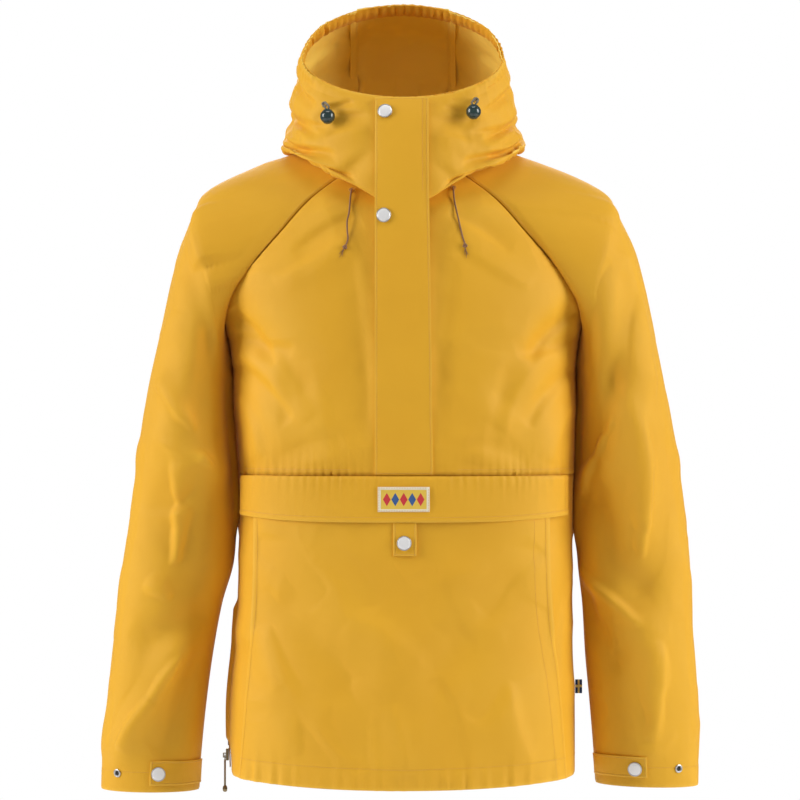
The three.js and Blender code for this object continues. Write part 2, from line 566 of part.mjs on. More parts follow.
// Press studs: a cap or socket is turned about the outward direction of the cloth
function turned(profile, sides, { p, n }) {
  const points = profile.map(([r, h]) => new THREE.Vector2(r, h));
  const geometry = new THREE.LatheGeometry(points, sides);
  const turn = new THREE.Quaternion().setFromUnitVectors(vec(0, 1, 0), n);
  return geometry.applyQuaternion(turn).translate(p.x, p.y, p.z);
}
const CAP = [[0, 0], [8.2, 0], [8.6, 0.8], [8, 1.7], [5.5, 2.3], [0, 2.5]];
const SOCKET = [[2, 0], [5.2, 0], [5.4, 0.8], [4.4, 1.6], [2.6, 1.6], [2, 0.9], [2, 0]];
const REST = 0.4;
const STUD_SIDES = 12;
const FLAP_STUDS = { stud_hood: { x: -21, z: 61 }, stud_chest: { x: -22.5, z: -61 } };
const POCKET_STUD = { x: 1.2, z: -442 };
const CUFF_STUDS = {
  right: { cap: 0.2185, socket: 0.357, row: 10.45 },
  left: { cap: 0.208, socket: 0.345, row: 10.49 },
};
function onFlap(x, z, lift) {
  const [right, left] = [read(FLAP, 'z', z, 'right'), read(FLAP, 'z', z, 'left')];
  const across = (2 * (x - right)) / (left - right) - 1;
  const n = outward(flap, across, z, 1);
  return { p: flap(across, z).addScaledVector(n, lift), n };
}
function addStuds() {
  const stud = (name, profile, place) => add(name, turned(profile, STUD_SIDES, place), metal());
  for (const [name, { x, z }] of Object.entries(FLAP_STUDS)) stud(name, CAP, onFlap(x, z, REST));
  stud('stud_pocket', CAP, onFront(POCKET_STUD.x, POCKET_STUD.z, POCKET_LIFT + LAYER + REST));
  for (const [name, { cap, socket, row }] of Object.entries(CUFF_STUDS)) {
    stud(`stud_cuff_${name}`, CAP, onSleeve(name, cap, row, TAB_LIFT + REST));
    stud(`socket_cuff_${name}`, SOCKET, onSleeve(name, socket, row, REST));
  }
}

// Cuff tabs, from the seam on the inside of the sleeve round its front
const CUFF_TABS = {
  right: { from: 0.02, to: 0.245, top: 10.1, bottom: 10.79 },
  left: { from: 0.03, to: 0.243, top: 10.16, bottom: 10.73 },
};
function addCuffTab(name) {
  const { from, to, top, bottom } = CUFF_TABS[name];
  const turns = () => steps(from, to, 6);
  const rows = sample(sleeves[name], turns, steps(top, bottom, 2), -SIDE[name], TAB_LIFT);
  add(`cuff_tab_${name}`, wall(rows, CLOTH, false, -SIDE[name]));
}

// Cords: a tube along points chosen by hand
const CORD_SIDES = 8;
function tube(points, radius, count) {
  const outline = new THREE.Shape(ringTurns(CORD_SIDES).map((t) => {
    return new THREE.Vector2(radius * cos(2 * PI * t), radius * sin(2 * PI * t));
  }));
  const extrudePath = new THREE.CatmullRomCurve3(points);
  return new THREE.ExtrudeGeometry(outline, { steps: count, extrudePath, bevelEnabled: false });
}

// Hood cord: an eyelet in the hood, a loop out of it and a ball lock that the loop runs into
const BALL_RADIUS = 8;
const HOOD_CORD = {
  right: { eyeX: -92, eyeZ: 72, ballX: -88.5, ballZ: 55 },
  left: { eyeX: 85, eyeZ: 76, ballX: 82.5, ballZ: 60 },
};
const EYELET = [[2.2, 0], [5, 0], [5, 0.8], [2.2, 0.8], [2.2, 0]];
const LOOP = { radius: 1.4, inside: 0.6, outside: 7, rise: 2.5, steps: 10 };
function addHoodCord(name) {
  const { eyeX, eyeZ, ballX, ballZ } = HOOD_CORD[name];
  const eye = onHood(eyeX, eyeZ, REST);
  add(`hood_eyelet_${name}`, turned(EYELET, STUD_SIDES, eye), metal());
  const seat = onHood(ballX, ballZ, BALL_RADIUS + REST);
  const ball = new THREE.SphereGeometry(BALL_RADIUS, 14, 10);
  add(`cord_lock_${name}`, ball.translate(seat.p.x, seat.p.y, seat.p.z), plastic());
  const start = eye.p.clone().addScaledVector(eye.n, LOOP.inside);
  const out = eye.p.clone().addScaledVector(eye.n, LOOP.outside);
  const up = eye.p.clone().sub(seat.p).normalize();
  const top = seat.p.clone().addScaledVector(vec(0, 0, 1).lerp(up, 0.3).normalize(), BALL_RADIUS + REST);
  const over = top.clone().lerp(out, 0.5).add(vec(0, 0, LOOP.rise));
  const route = [start, out.lerp(over, 0.3), over, top];
  add(`cord_loop_${name}`, tube(route, LOOP.radius, LOOP.steps), cord(0x4a4a46));
}

// Neck drawcord: its two free ends hang on the chest from eyelets under the hood's roll
const CORD_RADIUS = 1;
const CORD_LIFT = CORD_RADIUS + REST;
const NECK_CORD = {
  right: [[-60, -30], [-61, -37], [-62, -46], [-63, -58], [-65, -67], [-65, -78], [-64.2, -88], [-66, -95]],
  left: [[58.6, -27], [59, -35], [60, -44], [62.4, -56], [64.9, -67], [67, -77], [69.5, -87], [71.5, -93]],
};
const KNOT = [[0, 0], [2.2, 0.6], [3.2, 2.8], [2.8, 5], [1.2, 6.6], [1.4, 9], [1.7, 12], [0, 12.4]];
const CORD_STEPS = 20;
const OUT_OF_EYELET = 2;
const OFF_EDGE = 1.6;
const KNOT_LEAN = { right: vec(-0.5, 0, -1), left: vec(0.15, 0, -1) };
function addNeckCord(name) {
  const route = NECK_CORD[name];
  const [eyeX, eyeZ] = route[0];
  add(`neck_eyelet_${name}`, turned(EYELET, STUD_SIDES, onFront(eyeX, eyeZ, REST)), metal());
  const points = route.map(([x, z], i) => {
    const lift = [REST + OUT_OF_EYELET, CORD_LIFT + OFF_EDGE][i] ?? CORD_LIFT;
    return onFront(x, z, lift).p;
  });
  add(`neck_cord_${name}`, tube(points, CORD_RADIUS, CORD_STEPS), cord(0x9a6a45));
  const end = points[points.length - 1];
  const n = KNOT_LEAN[name].clone().normalize();
  const seat = end.clone().addScaledVector(n, 1).add(vec(0, -3, 0));
  add(`neck_knot_${name}`, turned(KNOT, 8, { p: seat, n }), cord(0x9a6a45));
}

// Side zip at the wearer's right, its slider and the pull that swings from the slider's bridge
const ZIP = { half: 7, thick: 1.6, top: -520, bottom: -716 };
const SLIDER = { half: 4.5, top: -694, bottom: -708, thick: 3.2 };
const HINGE = { z: -702, gap: 1.3, bar: 1.2, legs: 1.7 };
const PULL = { half: 2.8, hole: 1.7, holeFrom: 0.6, holeTo: 4.3, shoulder: 4.8, plateTo: 6.5, knobAt: 36, end: 44.5 };
const sideX = (z) => back(-1, z).x;
const ZIP_FACE = sideX(HINGE.z) - REST - ZIP.thick;
const HINGE_X = ZIP_FACE - REST - SLIDER.thick - HINGE.gap;

function solid(geometry) {
  const bare = geometry.index ? geometry.toNonIndexed() : geometry.clone();
  bare.deleteAttribute('normal');
  bare.deleteAttribute('uv');
  const merged = mergeVertices(bare, 1e-4);
  const corners = merged.index.array;
  const kept = [];
  for (let i = 0; i < corners.length; i += 3) {
    const [a, b, c] = corners.slice(i, i + 3);
    if (a !== b && b !== c && c !== a) kept.push(a, b, c);
  }
  return new wasm.Manifold(new wasm.Mesh({
    numProp: 3,
    vertProperties: new Float32Array(merged.attributes.position.array),
    triVerts: new Uint32Array(kept),
  }));
}
function geometryOf(manifold) {
  const mesh = manifold.getMesh();
  const geometry = new THREE.BufferGeometry();
  geometry.setAttribute('position', new THREE.BufferAttribute(mesh.vertProperties, 3));
  geometry.setIndex(new THREE.BufferAttribute(mesh.triVerts, 1));
  return geometry;
}
function addSideZip() {
  const rows = steps(ZIP.bottom, ZIP.top, 8).map((z) => [-1, 0, 1].map((y) => {
    return { p: vec(sideX(z) - REST - ZIP.thick, y * ZIP.half, z), n: vec(-1, 0, 0) };
  }));
  add('side_zip', wall(rows, ZIP.thick, false, -1), plastic());
}
function addSlider() {
  const height = SLIDER.top - SLIDER.bottom;
  const base = new THREE.BoxGeometry(SLIDER.thick, 2 * SLIDER.half, height);
  base.translate(ZIP_FACE - REST - SLIDER.thick / 2, 0, (SLIDER.top + SLIDER.bottom) / 2);
  const arch = new THREE.Shape();
  const [far, near] = [-HINGE.gap - HINGE.bar, HINGE.gap + 1];
  const reach = HINGE.legs + HINGE.bar;
  arch.moveTo(near, -reach).lineTo(far, -reach).lineTo(far, reach).lineTo(near, reach);
  arch.lineTo(near, HINGE.legs).lineTo(-HINGE.gap, HINGE.legs).lineTo(-HINGE.gap, -HINGE.legs);
  arch.lineTo(near, -HINGE.legs).closePath();
  const bridge = new THREE.ExtrudeGeometry(arch, { depth: 2 * HINGE.bar, bevelEnabled: false });
  bridge.translate(0, 0, -HINGE.bar).rotateX(PI / 2).translate(HINGE_X, 0, HINGE.z);
  add('zip_slider', geometryOf(solid(base).add(solid(bridge))), metal());
}
function addPull() {
  const outline = new THREE.Shape();
  outline.moveTo(-PULL.half, 0.6).lineTo(-PULL.half, -PULL.shoulder).lineTo(-1, -PULL.plateTo);
  outline.lineTo(1, -PULL.plateTo).lineTo(PULL.half, -PULL.shoulder).lineTo(PULL.half, 0.6).closePath();
  const hole = new THREE.Path();
  hole.moveTo(-PULL.hole, -PULL.holeFrom).lineTo(PULL.hole, -PULL.holeFrom);
  hole.lineTo(PULL.hole, -PULL.holeTo).lineTo(-PULL.hole, -PULL.holeTo).closePath();
  outline.holes.push(hole);
  const plate = new THREE.ExtrudeGeometry(outline, { depth: 1.2, bevelEnabled: false });
  plate.translate(0, 0, -0.6).rotateY(PI / 2).rotateX(PI / 2);
  const stem = [[0, 5.4], [1.2, 5.4], [1.2, PULL.knobAt], [2.6, 38], [3, 40.5], [2.4, 43.4], [0, PULL.end]];
  const rod = turned(stem, 10, { p: vec(0, 0, 0), n: vec(0, 0, -1) });
  const pull = geometryOf(solid(plate).add(solid(rod)));
  add('zip_pull', pull.translate(HINGE_X, 0, HINGE.z), metal());
}

// Woven loop label in the wearer's left side seam
const LABEL = { z: -611, height: 17, reach: 8.5, thick: 1.4 };
function addFlagLabel() {
  const box = new THREE.BoxGeometry(LABEL.reach, LABEL.thick, LABEL.height);
  const seam = back(1, LABEL.z - LABEL.height).x + REST;
  add('side_label', box.translate(seam + LABEL.reach / 2, 0, LABEL.z - LABEL.height / 2), label());
}

addChest('chest_right', -1);
addChest('chest_left', 1);
addLowerFront();
addBack();
addSleeve('right');
addSleeve('left');
addHoodSide('hood_right', -1);
addHoodSide('hood_left', 1);
addHoodStrip();
addHoodEdge();
addStormFlap();
addPocket();
addStuds();
for (const name of ['right', 'left']) {
  addCuffTab(name);
  addHoodCord(name);
  addNeckCord(name);
}
addSideZip();
addSlider();
addPull();
addFlagLabel();

export default anorak;
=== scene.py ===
# Anorak pullover in the form it has when worn. Tables are in millimetres and become metres in each mesh.
from math import asin, cos, pi, radians, sin

import bpy
import numpy as np
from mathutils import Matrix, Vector


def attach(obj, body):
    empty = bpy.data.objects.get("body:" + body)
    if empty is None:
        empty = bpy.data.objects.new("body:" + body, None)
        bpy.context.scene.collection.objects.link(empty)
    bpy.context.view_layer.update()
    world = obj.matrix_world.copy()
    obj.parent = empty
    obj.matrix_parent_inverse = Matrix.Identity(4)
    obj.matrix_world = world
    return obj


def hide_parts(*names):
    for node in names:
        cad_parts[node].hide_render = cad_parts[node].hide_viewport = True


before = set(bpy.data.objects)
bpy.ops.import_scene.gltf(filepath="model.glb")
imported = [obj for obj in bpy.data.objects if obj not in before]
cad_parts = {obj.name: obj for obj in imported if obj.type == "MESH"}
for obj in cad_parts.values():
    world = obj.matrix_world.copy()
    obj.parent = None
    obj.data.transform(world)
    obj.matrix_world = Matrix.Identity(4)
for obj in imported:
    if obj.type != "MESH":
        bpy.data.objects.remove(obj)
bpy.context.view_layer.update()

MM = 0.001
scene = bpy.context.scene


# Camera: level, four metres in front, as wide as the picture
CAMERA_X = -3.6
CAMERA_Z = -276
CAMERA_AWAY = 4000
CAMERA_LENS = 150
CAMERA_SENSOR = 36


def add_camera():
    data = bpy.data.cameras.new("front_camera")
    data.lens = CAMERA_LENS
    data.sensor_width = CAMERA_SENSOR
    data.clip_end = 100
    camera = bpy.data.objects.new("front_camera", data)
    camera.location = Vector((CAMERA_X, -CAMERA_AWAY, CAMERA_Z)) * MM
    camera.rotation_euler = (radians(90), 0, 0)
    scene.collection.objects.link(camera)
    scene.camera = camera


add_camera()


# Tables with named columns
def table(names, rows):
    return dict(zip(names.split(), np.array(rows, float).T))


# Heights of the seams
UNDERARM = -215
HEM = -722
CHEST_SEAM = -364
SEAM_GAP = 0.4
NECK = {"half": 88, "front": 96, "back": 80, "front_seam": -6, "back_seam": 38}
NECK_DIP = {"front": 34, "back": 10}
NECK_SEAM_HALF = {"front": 68, "back": 60}

FRONT = table("z half depth seam drop round shift", [
    (HEM, 206, 126, 206, 9, 2.5, 0),
    (-640, 207, 129, 207, 6, 2.5, -1),
    (-560, 202, 129, 202, 3, 2.5, 1),
    (-470, 200, 130, 200, 0, 2.5, 3),
    (-400, 199, 131, 199, 0, 2.5, 4),
    (-300, 203, 133, 203, 0, 2.5, 3),
    (UNDERARM, 208, 132, 208, 0, 2.4, 1),
    (-172, 219, 130, 213, 0, 2.4, 0),
    (-141, 222, 127, 200, 1, 2.35, 0),
    (-112, 214, 123, 175, 3, 2.3, 0),
    (-76, 188, 116, 143, 7, 2.25, 0),
    (-38, 150, 106, 109, 14, 2.2, 0),
    (NECK["front_seam"], 88, 96, 68, 34, 2, 0),
])
BACK = table("z half depth seam drop round shift", [
    (HEM, 206, 116, 206, 9, 2.5, 0),
    (-640, 207, 117, 207, 6, 2.5, -1),
    (-560, 202, 113, 202, 3, 2.5, 1),
    (-470, 200, 108, 200, 0, 2.5, 3),
    (-400, 199, 108, 199, 0, 2.5, 4),
    (-300, 203, 114, 203, 0, 2.5, 3),
    (UNDERARM, 208, 120, 208, 0, 2.4, 1),
    (-172, 217, 123, 205, 0, 2.4, 0),
    (-141, 215, 124, 190, 0, 2.35, 0),
    (-108, 203, 123, 166, 0, 2.3, 0),
    (-70, 182, 119, 139, 0, 2.25, 0),
    (-30, 150, 110, 108, 2, 2.2, 0),
    (6, 115, 97, 80, 5, 2.1, 0),
    (NECK["back_seam"], 88, 80, 60, 10, 2, 0),
])
SLEEVE = {
    "right": table("row inX inZ outX outZ front back", [
        (1, 209.5, -245, 245, -38, 84, 84),
        (2, 209, -275, 272, -112, 88, 87),
        (3, 206.5, -315, 291, -196, 88, 87),
        (4, 202.5, -365, 308, -276, 84, 83),
        (5, 200, -415, 322, -376, 77, 76),
        (6, 203, -470, 334, -460, 70, 69),
        (7, 217, -520, 342, -520, 65, 63),
        (8, 228, -580, 350, -590, 59, 57),
        (9, 236, -640, 356, -650, 54, 52),
        (10, 242, -700, 360, -700, 50, 48),
        (11, 244.5, -742, 361.5, -741, 48, 46),
    ]),
    "left": table("row inX inZ outX outZ front back", [
        (1, 212, -245, 249, -38, 84, 84),
        (2, 212, -275, 281, -108, 88, 87),
        (3, 210.5, -315, 301, -196, 88, 87),
        (4, 209, -365, 317, -276, 84, 83),
        (5, 207.5, -415, 334, -376, 77, 76),
        (6, 209.5, -470, 342.5, -456, 70, 69),
        (7, 215, -520, 345, -520, 65, 63),
        (8, 218.5, -580, 351, -590, 59, 57),
        (9, 223.5, -635, 354, -645, 54, 52),
        (10, 228, -690, 354.5, -692, 50, 48),
        (11, 231, -734, 354, -737, 48, 46),
    ]),
}
SIDE = {"right": -1, "left": 1}
CUFF_ROW = 11
RAGLAN_FRONT = 0.4
RAGLAN_BACK = 0.6
SHOULDER_LIFT = 0.12
SHOULDER_BEND = 0.5
UNDERARM_BEND = 0.6
SLEEVE_ROUND = 400

HOOD = table("half front back mid zFront zSide zBack vee", [
    (144, 118, 136, 0, -58, 24, 40, 1),
    (146, 122, 146, 4, -18, 38, 80, 0.6),
    (140, 118, 158, 6, 24, 64, 128, 0.3),
    (130, 100, 158, -6, 56, 102, 182, 0.1),
    (121.5, 71, 94, -24, 80, 134, 208, 0),
])
HOOD_TOP = 5
HOOD_STRIP_HALF = 58

FLAP = table("z right left y bow", [
    (CHEST_SEAM + SEAM_GAP, -33, 35, -134.1, 1),
    (-300, -33, 34, -135.4, 0.9),
    (-215, -33, 33, -134.7, 1),
    (-141, -33, 32, -131.5, 1),
    (-83, -33, 31, -126.5, 1.5),
    (-50, -33, 30.5, -124, 2),
    (-10, -33, 30, -122.5, 2.5),
    (30, -33, 30, -117, 3),
    (58, -33, 30, -111, 3),
    (79, -33, 30, -102, 3),
])
POCKET = table("z right left", [
    (HEM + 1, -192, 192),
    (-600, -182, 182),
    (-540, -176, 174),
    (-480, -173, 170),
    (CHEST_SEAM - 6, -172, 168),
])
FLAP_BAND = {"right": -188, "left": 190, "top": CHEST_SEAM - SEAM_GAP, "middle": -418, "ends": -411}
TAB = {"right": -11.5, "left": 15.5, "bottom": -457}
PATCH = {"right": -29, "left": 30.5, "top": -376.5, "bottom": -405.5}
POCKET_LIFT = 3.6
FLAP_LIFT = 6.8
LAYER = 2.1
PATCH_LIFT = FLAP_LIFT + 1.5
REST = 0.4

# Largest folds of the solids: a soft trough (depth > 0) or ridge along a line
FRONT_FOLDS = table("x1 z1 x2 z2 wide depth", [
    (-196, -176, -120, -262, 20, 6),
    (196, -176, 118, -270, 20, 6),
    (-180, -330, -150, -240, 22, -4),
    (172, -345, 150, -235, 22, -4),
    (-130, -520, -60, -600, 26, 5),
    (120, -500, 40, -590, 26, 5),
    (-20, -560, 10, -690, 30, -4),
])
BACK_FOLDS = table("x1 z1 x2 z2 wide depth", [
    (-190, -190, -90, -290, 24, 7),
    (192, -184, 100, -280, 24, 7),
    (-150, -390, 40, -430, 26, 6),
    (160, -440, 10, -480, 26, 5),
    (-110, -540, -130, -690, 26, -5),
    (90, -540, 110, -690, 26, -5),
])
SLEEVE_FOLDS = {
    "right": table("turn1 z1 turn2 z2 wide depth", [
        (0.32, -120, 0.19, -190, 20, 8),
        (0.19, -215, 0.22, -320, 26, 9),
        (0.38, -252, 0.22, -314, 20, -6),
        (0.34, -318, 0.13, -358, 22, -6),
        (0.3, -405, 0.2, -490, 34, 10),
        (0.28, -560, 0.13, -530, 22, 8),
        (0.18, -578, 0.35, -690, 22, -7),
        (0.13, -590, 0.2, -690, 22, 6),
        (0.9, -340, 0.62, -400, 24, 7),
        (0.88, -480, 0.6, -450, 24, 7),
        (0.85, -560, 0.64, -640, 22, -6),
    ]),
    "left": table("turn1 z1 turn2 z2 wide depth", [
        (0.35, -140, 0.22, -253, 20, 8),
        (0.22, -253, 0.13, -330, 24, 9),
        (0.3, -300, 0.26, -465, 24, -6),
        (0.39, -335, 0.27, -490, 20, 5),
        (0.13, -400, 0.235, -500, 28, 9),
        (0.04, -520, 0.16, -575, 24, 7),
        (0.28, -560, 0.25, -690, 24, -5),
        (0.92, -330, 0.66, -380, 24, 7),
        (0.86, -460, 0.62, -490, 24, 7),
        (0.84, -570, 0.66, -630, 22, -6),
    ]),
}

# Finer creases, which have tapered ends, one steep side and a bow
FRONT_CREASES = table("x1 z1 x2 z2 wide depth bow", [
    (-205, -170, -150, -236, 8, 5, 6),
    (-206, -196, -128, -216, 9, 3.6, -5),
    (-200, -232, -132, -300, 10, 5, 6),
    (-196, -270, -168, -345, 10, -3.4, 4),
    (-176, -206, -110, -300, 16, -3.6, 8),
    (206, -170, 148, -232, 8, 5, -6),
    (207, -200, 132, -222, 9, 3.4, 5),
    (203, -240, 146, -306, 10, 5, -6),
    (198, -285, 174, -350, 10, -3.4, -4),
    (172, -214, 112, -310, 16, -3.6, -8),
    (-128, -104, -52, -60, 10, 4, 5),
    (-150, -140, -60, -84, 12, -3.4, -4),
    (126, -100, 54, -56, 10, 4, -5),
    (150, -142, 60, -84, 12, -3.4, 4),
    (-64, -110, -44, -330, 15, 3.2, 5),
    (60, -110, 46, -330, 15, 3.2, -5),
    (-110, -230, -86, -350, 16, -3, 4),
    (112, -220, 90, -352, 16, -3, -4),
    (-152, -350, -70, -320, 14, 2.6, 6),
    (148, -350, 76, -326, 14, 2.6, -6),
    (-190, -560, -178, -700, 9, 2.6, 4),
    (192, -480, 180, -620, 9, 2.6, -4),
])
POCKET_CREASES = table("x1 z1 x2 z2 wide depth bow", [
    (-168, -440, -90, -505, 14, 4.4, 8),
    (-164, -500, -64, -612, 18, 4.6, -8),
    (-160, -540, -122, -690, 16, -4, 6),
    (-140, -610, -80, -706, 13, 3.4, -6),
    (-90, -450, -30, -520, 16, 2.6, 6),
    (-70, -590, -40, -706, 14, 3.4, -5),
    (30, -470, 76, -570, 16, 3, -6),
    (160, -450, 92, -524, 14, 4, -8),
    (166, -520, 80, -650, 18, 4.4, 9),
    (118, -590, 148, -704, 15, -3.8, -6),
    (36, -600, 70, -710, 13, 3, 5),
    (-14, -630, 6, -714, 12, -2.8, 3),
    (-60, -530, 40, -610, 18, -2.6, 10),
])
BACK_CREASES = table("x1 z1 x2 z2 wide depth bow", [
    (-204, -176, -130, -244, 8, 3, 8),
    (-200, -214, -110, -236, 9, 2.4, -6),
    (-196, -256, -120, -330, 10, 2.4, 8),
    (202, -176, 134, -250, 8, 3, -8),
    (203, -220, 120, -240, 9, 2.2, 6),
    (198, -262, 130, -322, 10, 2.4, -8),
    (-60, -30, -20, -150, 14, 1.8, 6),
    (64, -36, 26, -168, 14, 1.8, -6),
    (-90, -330, 30, -352, 12, 2, 8),
    (110, -372, 0, -396, 12, 2, -7),
    (-150, -470, -20, -505, 12, 2.2, 8),
    (150, -520, 40, -548, 12, 2, -7),
    (-70, -560, -50, -700, 14, 2, 6),
    (40, -570, 30, -704, 14, 2, -6),
    (150, -590, 160, -700, 12, -2, 5),
    (-160, -560, -168, -690, 12, -2, -5),
])
# Creases that both sleeves share, then each sleeve's own
SLEEVE_CREASES = table("turn1 z1 turn2 z2 wide depth bow", [
    (0.06, -262, 0.2, -330, 8, 4.6, 6),
    (0.04, -290, 0.14, -372, 9, 4, 6),
    (0.08, -352, 0.3, -430, 9, 4, -8),
    (0.02, -400, 0.24, -392, 9, 3.6, 6),
    (0.3, -300, 0.44, -232, 13, 3, 6),
    (0.06, -452, 0.26, -500, 9, 4.4, 8),
    (0.16, -520, 0.36, -556, 9, 3.6, -6),
    (0.04, -560, 0.2, -600, 10, 4, 6),
    (0.26, -600, 0.4, -690, 10, 4, 8),
    (0.1, -640, 0.2, -712, 10, 3.4, 5),
    (0.36, -440, 0.5, -520, 13, -2.8, 6),
    (0.96, -300, 0.8, -352, 9, 4, -6),
    (0.93, -380, 0.7, -404, 9, 4, 7),
    (0.95, -450, 0.72, -506, 10, 4, -8),
    (0.9, -540, 0.7, -600, 10, 3.6, 7),
    (0.86, -630, 0.76, -706, 10, -3, 5),
    (0.7, -300, 0.6, -210, 13, 3, -6),
    (0.44, -200, 0.56, -262, 16, 4.6, 5),
    (0.42, -330, 0.58, -352, 16, -4, 4),
    (0.46, -430, 0.6, -400, 18, 3.6, -5),
    (0.42, -560, 0.56, -600, 16, 4, 5),
    (0.55, -640, 0.47, -700, 16, -3.6, 4),
])
OWN_CREASES = {
    "right": table("turn1 z1 turn2 z2 wide depth bow", [
        (0.38, -252, 0.218, -314, 9, -6, 3),
        (0.37, -270, 0.21, -332, 7, 5, 3),
        (0.14, -360, 0.16, -440, 24, 6, 0),
        (0.38, -330, 0.35, -400, 12, 5, -3),
        (0.36, -430, 0.3, -470, 10, 4, 3),
        (0.36, -300, 0.2, -345, 8, 5, 3),
        (0.325, -324, 0.12, -361, 8, -4.4, -3),
        (0.3, -400, 0.14, -385, 8, 6, 4),
        (0.2, -415, 0.2, -500, 9, 6, 5),
        (0.28, -350, 0.25, -470, 12, -6.5, -4),
        (0.33, -490, 0.238, -510, 9, -4.6, 2),
        (0.285, -560, 0.14, -525, 8, 7, -3),
        (0.178, -578, 0.262, -630, 9, -4.6, 3),
        (0.262, -630, 0.35, -690, 9, -4.6, 2),
        (0.16, -600, 0.24, -680, 9, 5, 4),
        (0.43, -48, 0.21, -167, 14, -4.4, 6),
        (0.425, -49, 0.283, -121, 10, -4, 0),
        (0.283, -121, 0.19, -178, 10, -4.4, 0),
        (0.32, -118, 0.16, -207, 15, 9, 4),
        (0.19, -212, 0.19, -300, 18, 7, -4),
        (0.19, -300, 0.1, -365, 17, 7, 0),
        (0.24, -150, 0.1, -205, 10, 4, 4),
        (0.3, -205, 0.2, -235, 12, 3.4, -5),
        (0.36, -170, 0.42, -260, 16, -3, 6),
        (0.57, -40, 0.76, -150, 16, -4, -6),
        (0.66, -90, 0.84, -190, 14, 5, -5),
    ]),
    "left": table("turn1 z1 turn2 z2 wide depth bow", [
        (0.352, -140, 0.225, -253, 16, 9, -4),
        (0.225, -253, 0.05, -350, 14, 8, -4),
        (0.21, -300, 0.06, -385, 9, -4.4, -3),
        (0.145, -403, 0.248, -492, 12, 7, 4),
        (0.392, -335, 0.308, -468, 8, 5.4, -3),
        (0.308, -468, 0.262, -494, 8, 5, 0),
        (0.305, -300, 0.262, -465, 9, -4.8, 3),
        (0.042, -477, 0.245, -543, 8, -4.4, 3),
        (0.0, -502, 0.128, -560, 8, 6, 2),
        (0.13, -590, 0.24, -660, 9, 4.6, 4),
        (0.3, -560, 0.26, -680, 10, -4.4, 3),
        (0.442, -45, 0.37, -71, 15, -3.4, 3),
        (0.37, -71, 0.185, -183, 15, -4.4, -6),
        (0.34, -120, 0.2, -215, 14, 5.4, -6),
        (0.24, -150, 0.2, -220, 9, -3, 2),
        (0.2, -185, 0.08, -225, 10, 4, 4),
        (0.4, -150, 0.37, -300, 16, -3, -6),
        (0.56, -44, 0.74, -140, 16, -4, 6),
        (0.68, -100, 0.86, -196, 14, 5, 5),
    ]),
}
HOOD_CREASES = table("angle1 row1 angle2 row2 wide depth bow", [
    (52, 3.9, 104, 4.2, 7, 4.6, 4),
    (40, 3.2, 112, 3.35, 8, 4.8, -6),
    (46, 2.85, 96, 3.0, 6, 3.6, 5),
    (58, 2.5, 120, 2.75, 9, 5, 5),
    (34, 2.3, 70, 1.7, 8, 4.6, 5),
    (50, 2.15, 98, 2.3, 7, 4, -5),
    (66, 1.9, 104, 1.55, 8, 4.6, -4),
    (24, 1.6, 48, 0.9, 8, 4, 4),
    (14, 2.6, 30, 1.2, 11, 3, 5),
    (44, 1.2, 84, 0.8, 7, 4.4, -4),
    (60, 1.35, 100, 1.25, 6, 3.6, 3),
    (96, 3.7, 140, 3.9, 9, 4, 5),
    (110, 2.2, 150, 2, 10, 4, -5),
    (124, 3, 176, 2.8, 12, 4.4, 6),
    (130, 1.4, 172, 1.2, 10, 4, 5),
    (28, 4.5, 44, 3.7, 6, 3, 2),
    (18, 3.9, 50, 3.4, 9, 3, 4),
    (16, 3.3, 40, 2.7, 10, -2.6, 4),
])
HOOD_PER_DEGREE = 2.3
HOOD_PER_ROW = 40

# Lines placed by turns of a sleeve, or by degrees and rows of the hood, are needed in millimetres too
for lines in (*SLEEVE_FOLDS.values(), SLEEVE_CREASES, *OWN_CREASES.values()):
    for end in "12":
        lines["x" + end] = SLEEVE_ROUND * (lines["turn" + end] - 0.5)
for end in "12":
    HOOD_CREASES["x" + end] = HOOD_CREASES["angle" + end] * HOOD_PER_DEGREE
    HOOD_CREASES["z" + end] = HOOD_CREASES["row" + end] * HOOD_PER_ROW


# Curves and surfaces
def smooth(low, high, at):
    t = np.clip((np.asarray(at, float) - low) / (high - low), 0, 1)
    return t * t * (3 - 2 * t)


def mix(a, b, t):
    return a + (b - a) * t


def stack(x, y, z):
    return np.stack(np.broadcast_arrays(x, y, z), axis=-1).astype(float)


def hermite(a, b, slope_a, slope_b, t):
    t2 = t * t
    t3 = t2 * t
    ends = a * (2 * t3 - 3 * t2 + 1) + b * (3 * t2 - 2 * t3)
    return ends + slope_a * (t3 - 2 * t2 + t) + slope_b * (t3 - t2)


def read(rows, key, at, along="z"):
    """A cubic through one column of a table, at places on its first column."""
    x, y = rows[along], rows[key]
    slopes = np.empty_like(y)
    slopes[1:-1] = (y[2:] - y[:-2]) / (x[2:] - x[:-2])
    slopes[0] = (y[1] - y[0]) / (x[1] - x[0])
    slopes[-1] = (y[-1] - y[-2]) / (x[-1] - x[-2])
    at = np.clip(at, x[0], x[-1])
    i = np.clip(np.searchsorted(x, at) - 1, 0, len(x) - 2)
    span = x[i + 1] - x[i]
    return hermite(y[i], y[i + 1], slopes[i] * span, slopes[i + 1] * span, (at - x[i]) / span)


def fold_depth(folds, x, z):
    """Summed depth of soft folds, each by the distance to its line."""
    depth = np.zeros(np.broadcast(x, z).shape)
    for x1, z1, x2, z2, wide, deep in zip(*(folds[k] for k in ("x1", "z1", "x2", "z2", "wide", "depth"))):
        dx, dz = x2 - x1, z2 - z1
        t = np.clip(((x - x1) * dx + (z - z1) * dz) / (dx * dx + dz * dz), 0, 1)
        away = np.hypot(x - x1 - t * dx, z - z1 - t * dz) / wide
        depth = depth + deep * np.exp(-away * away)
    return depth


STEEP = 0.7
GENTLE = 1.5


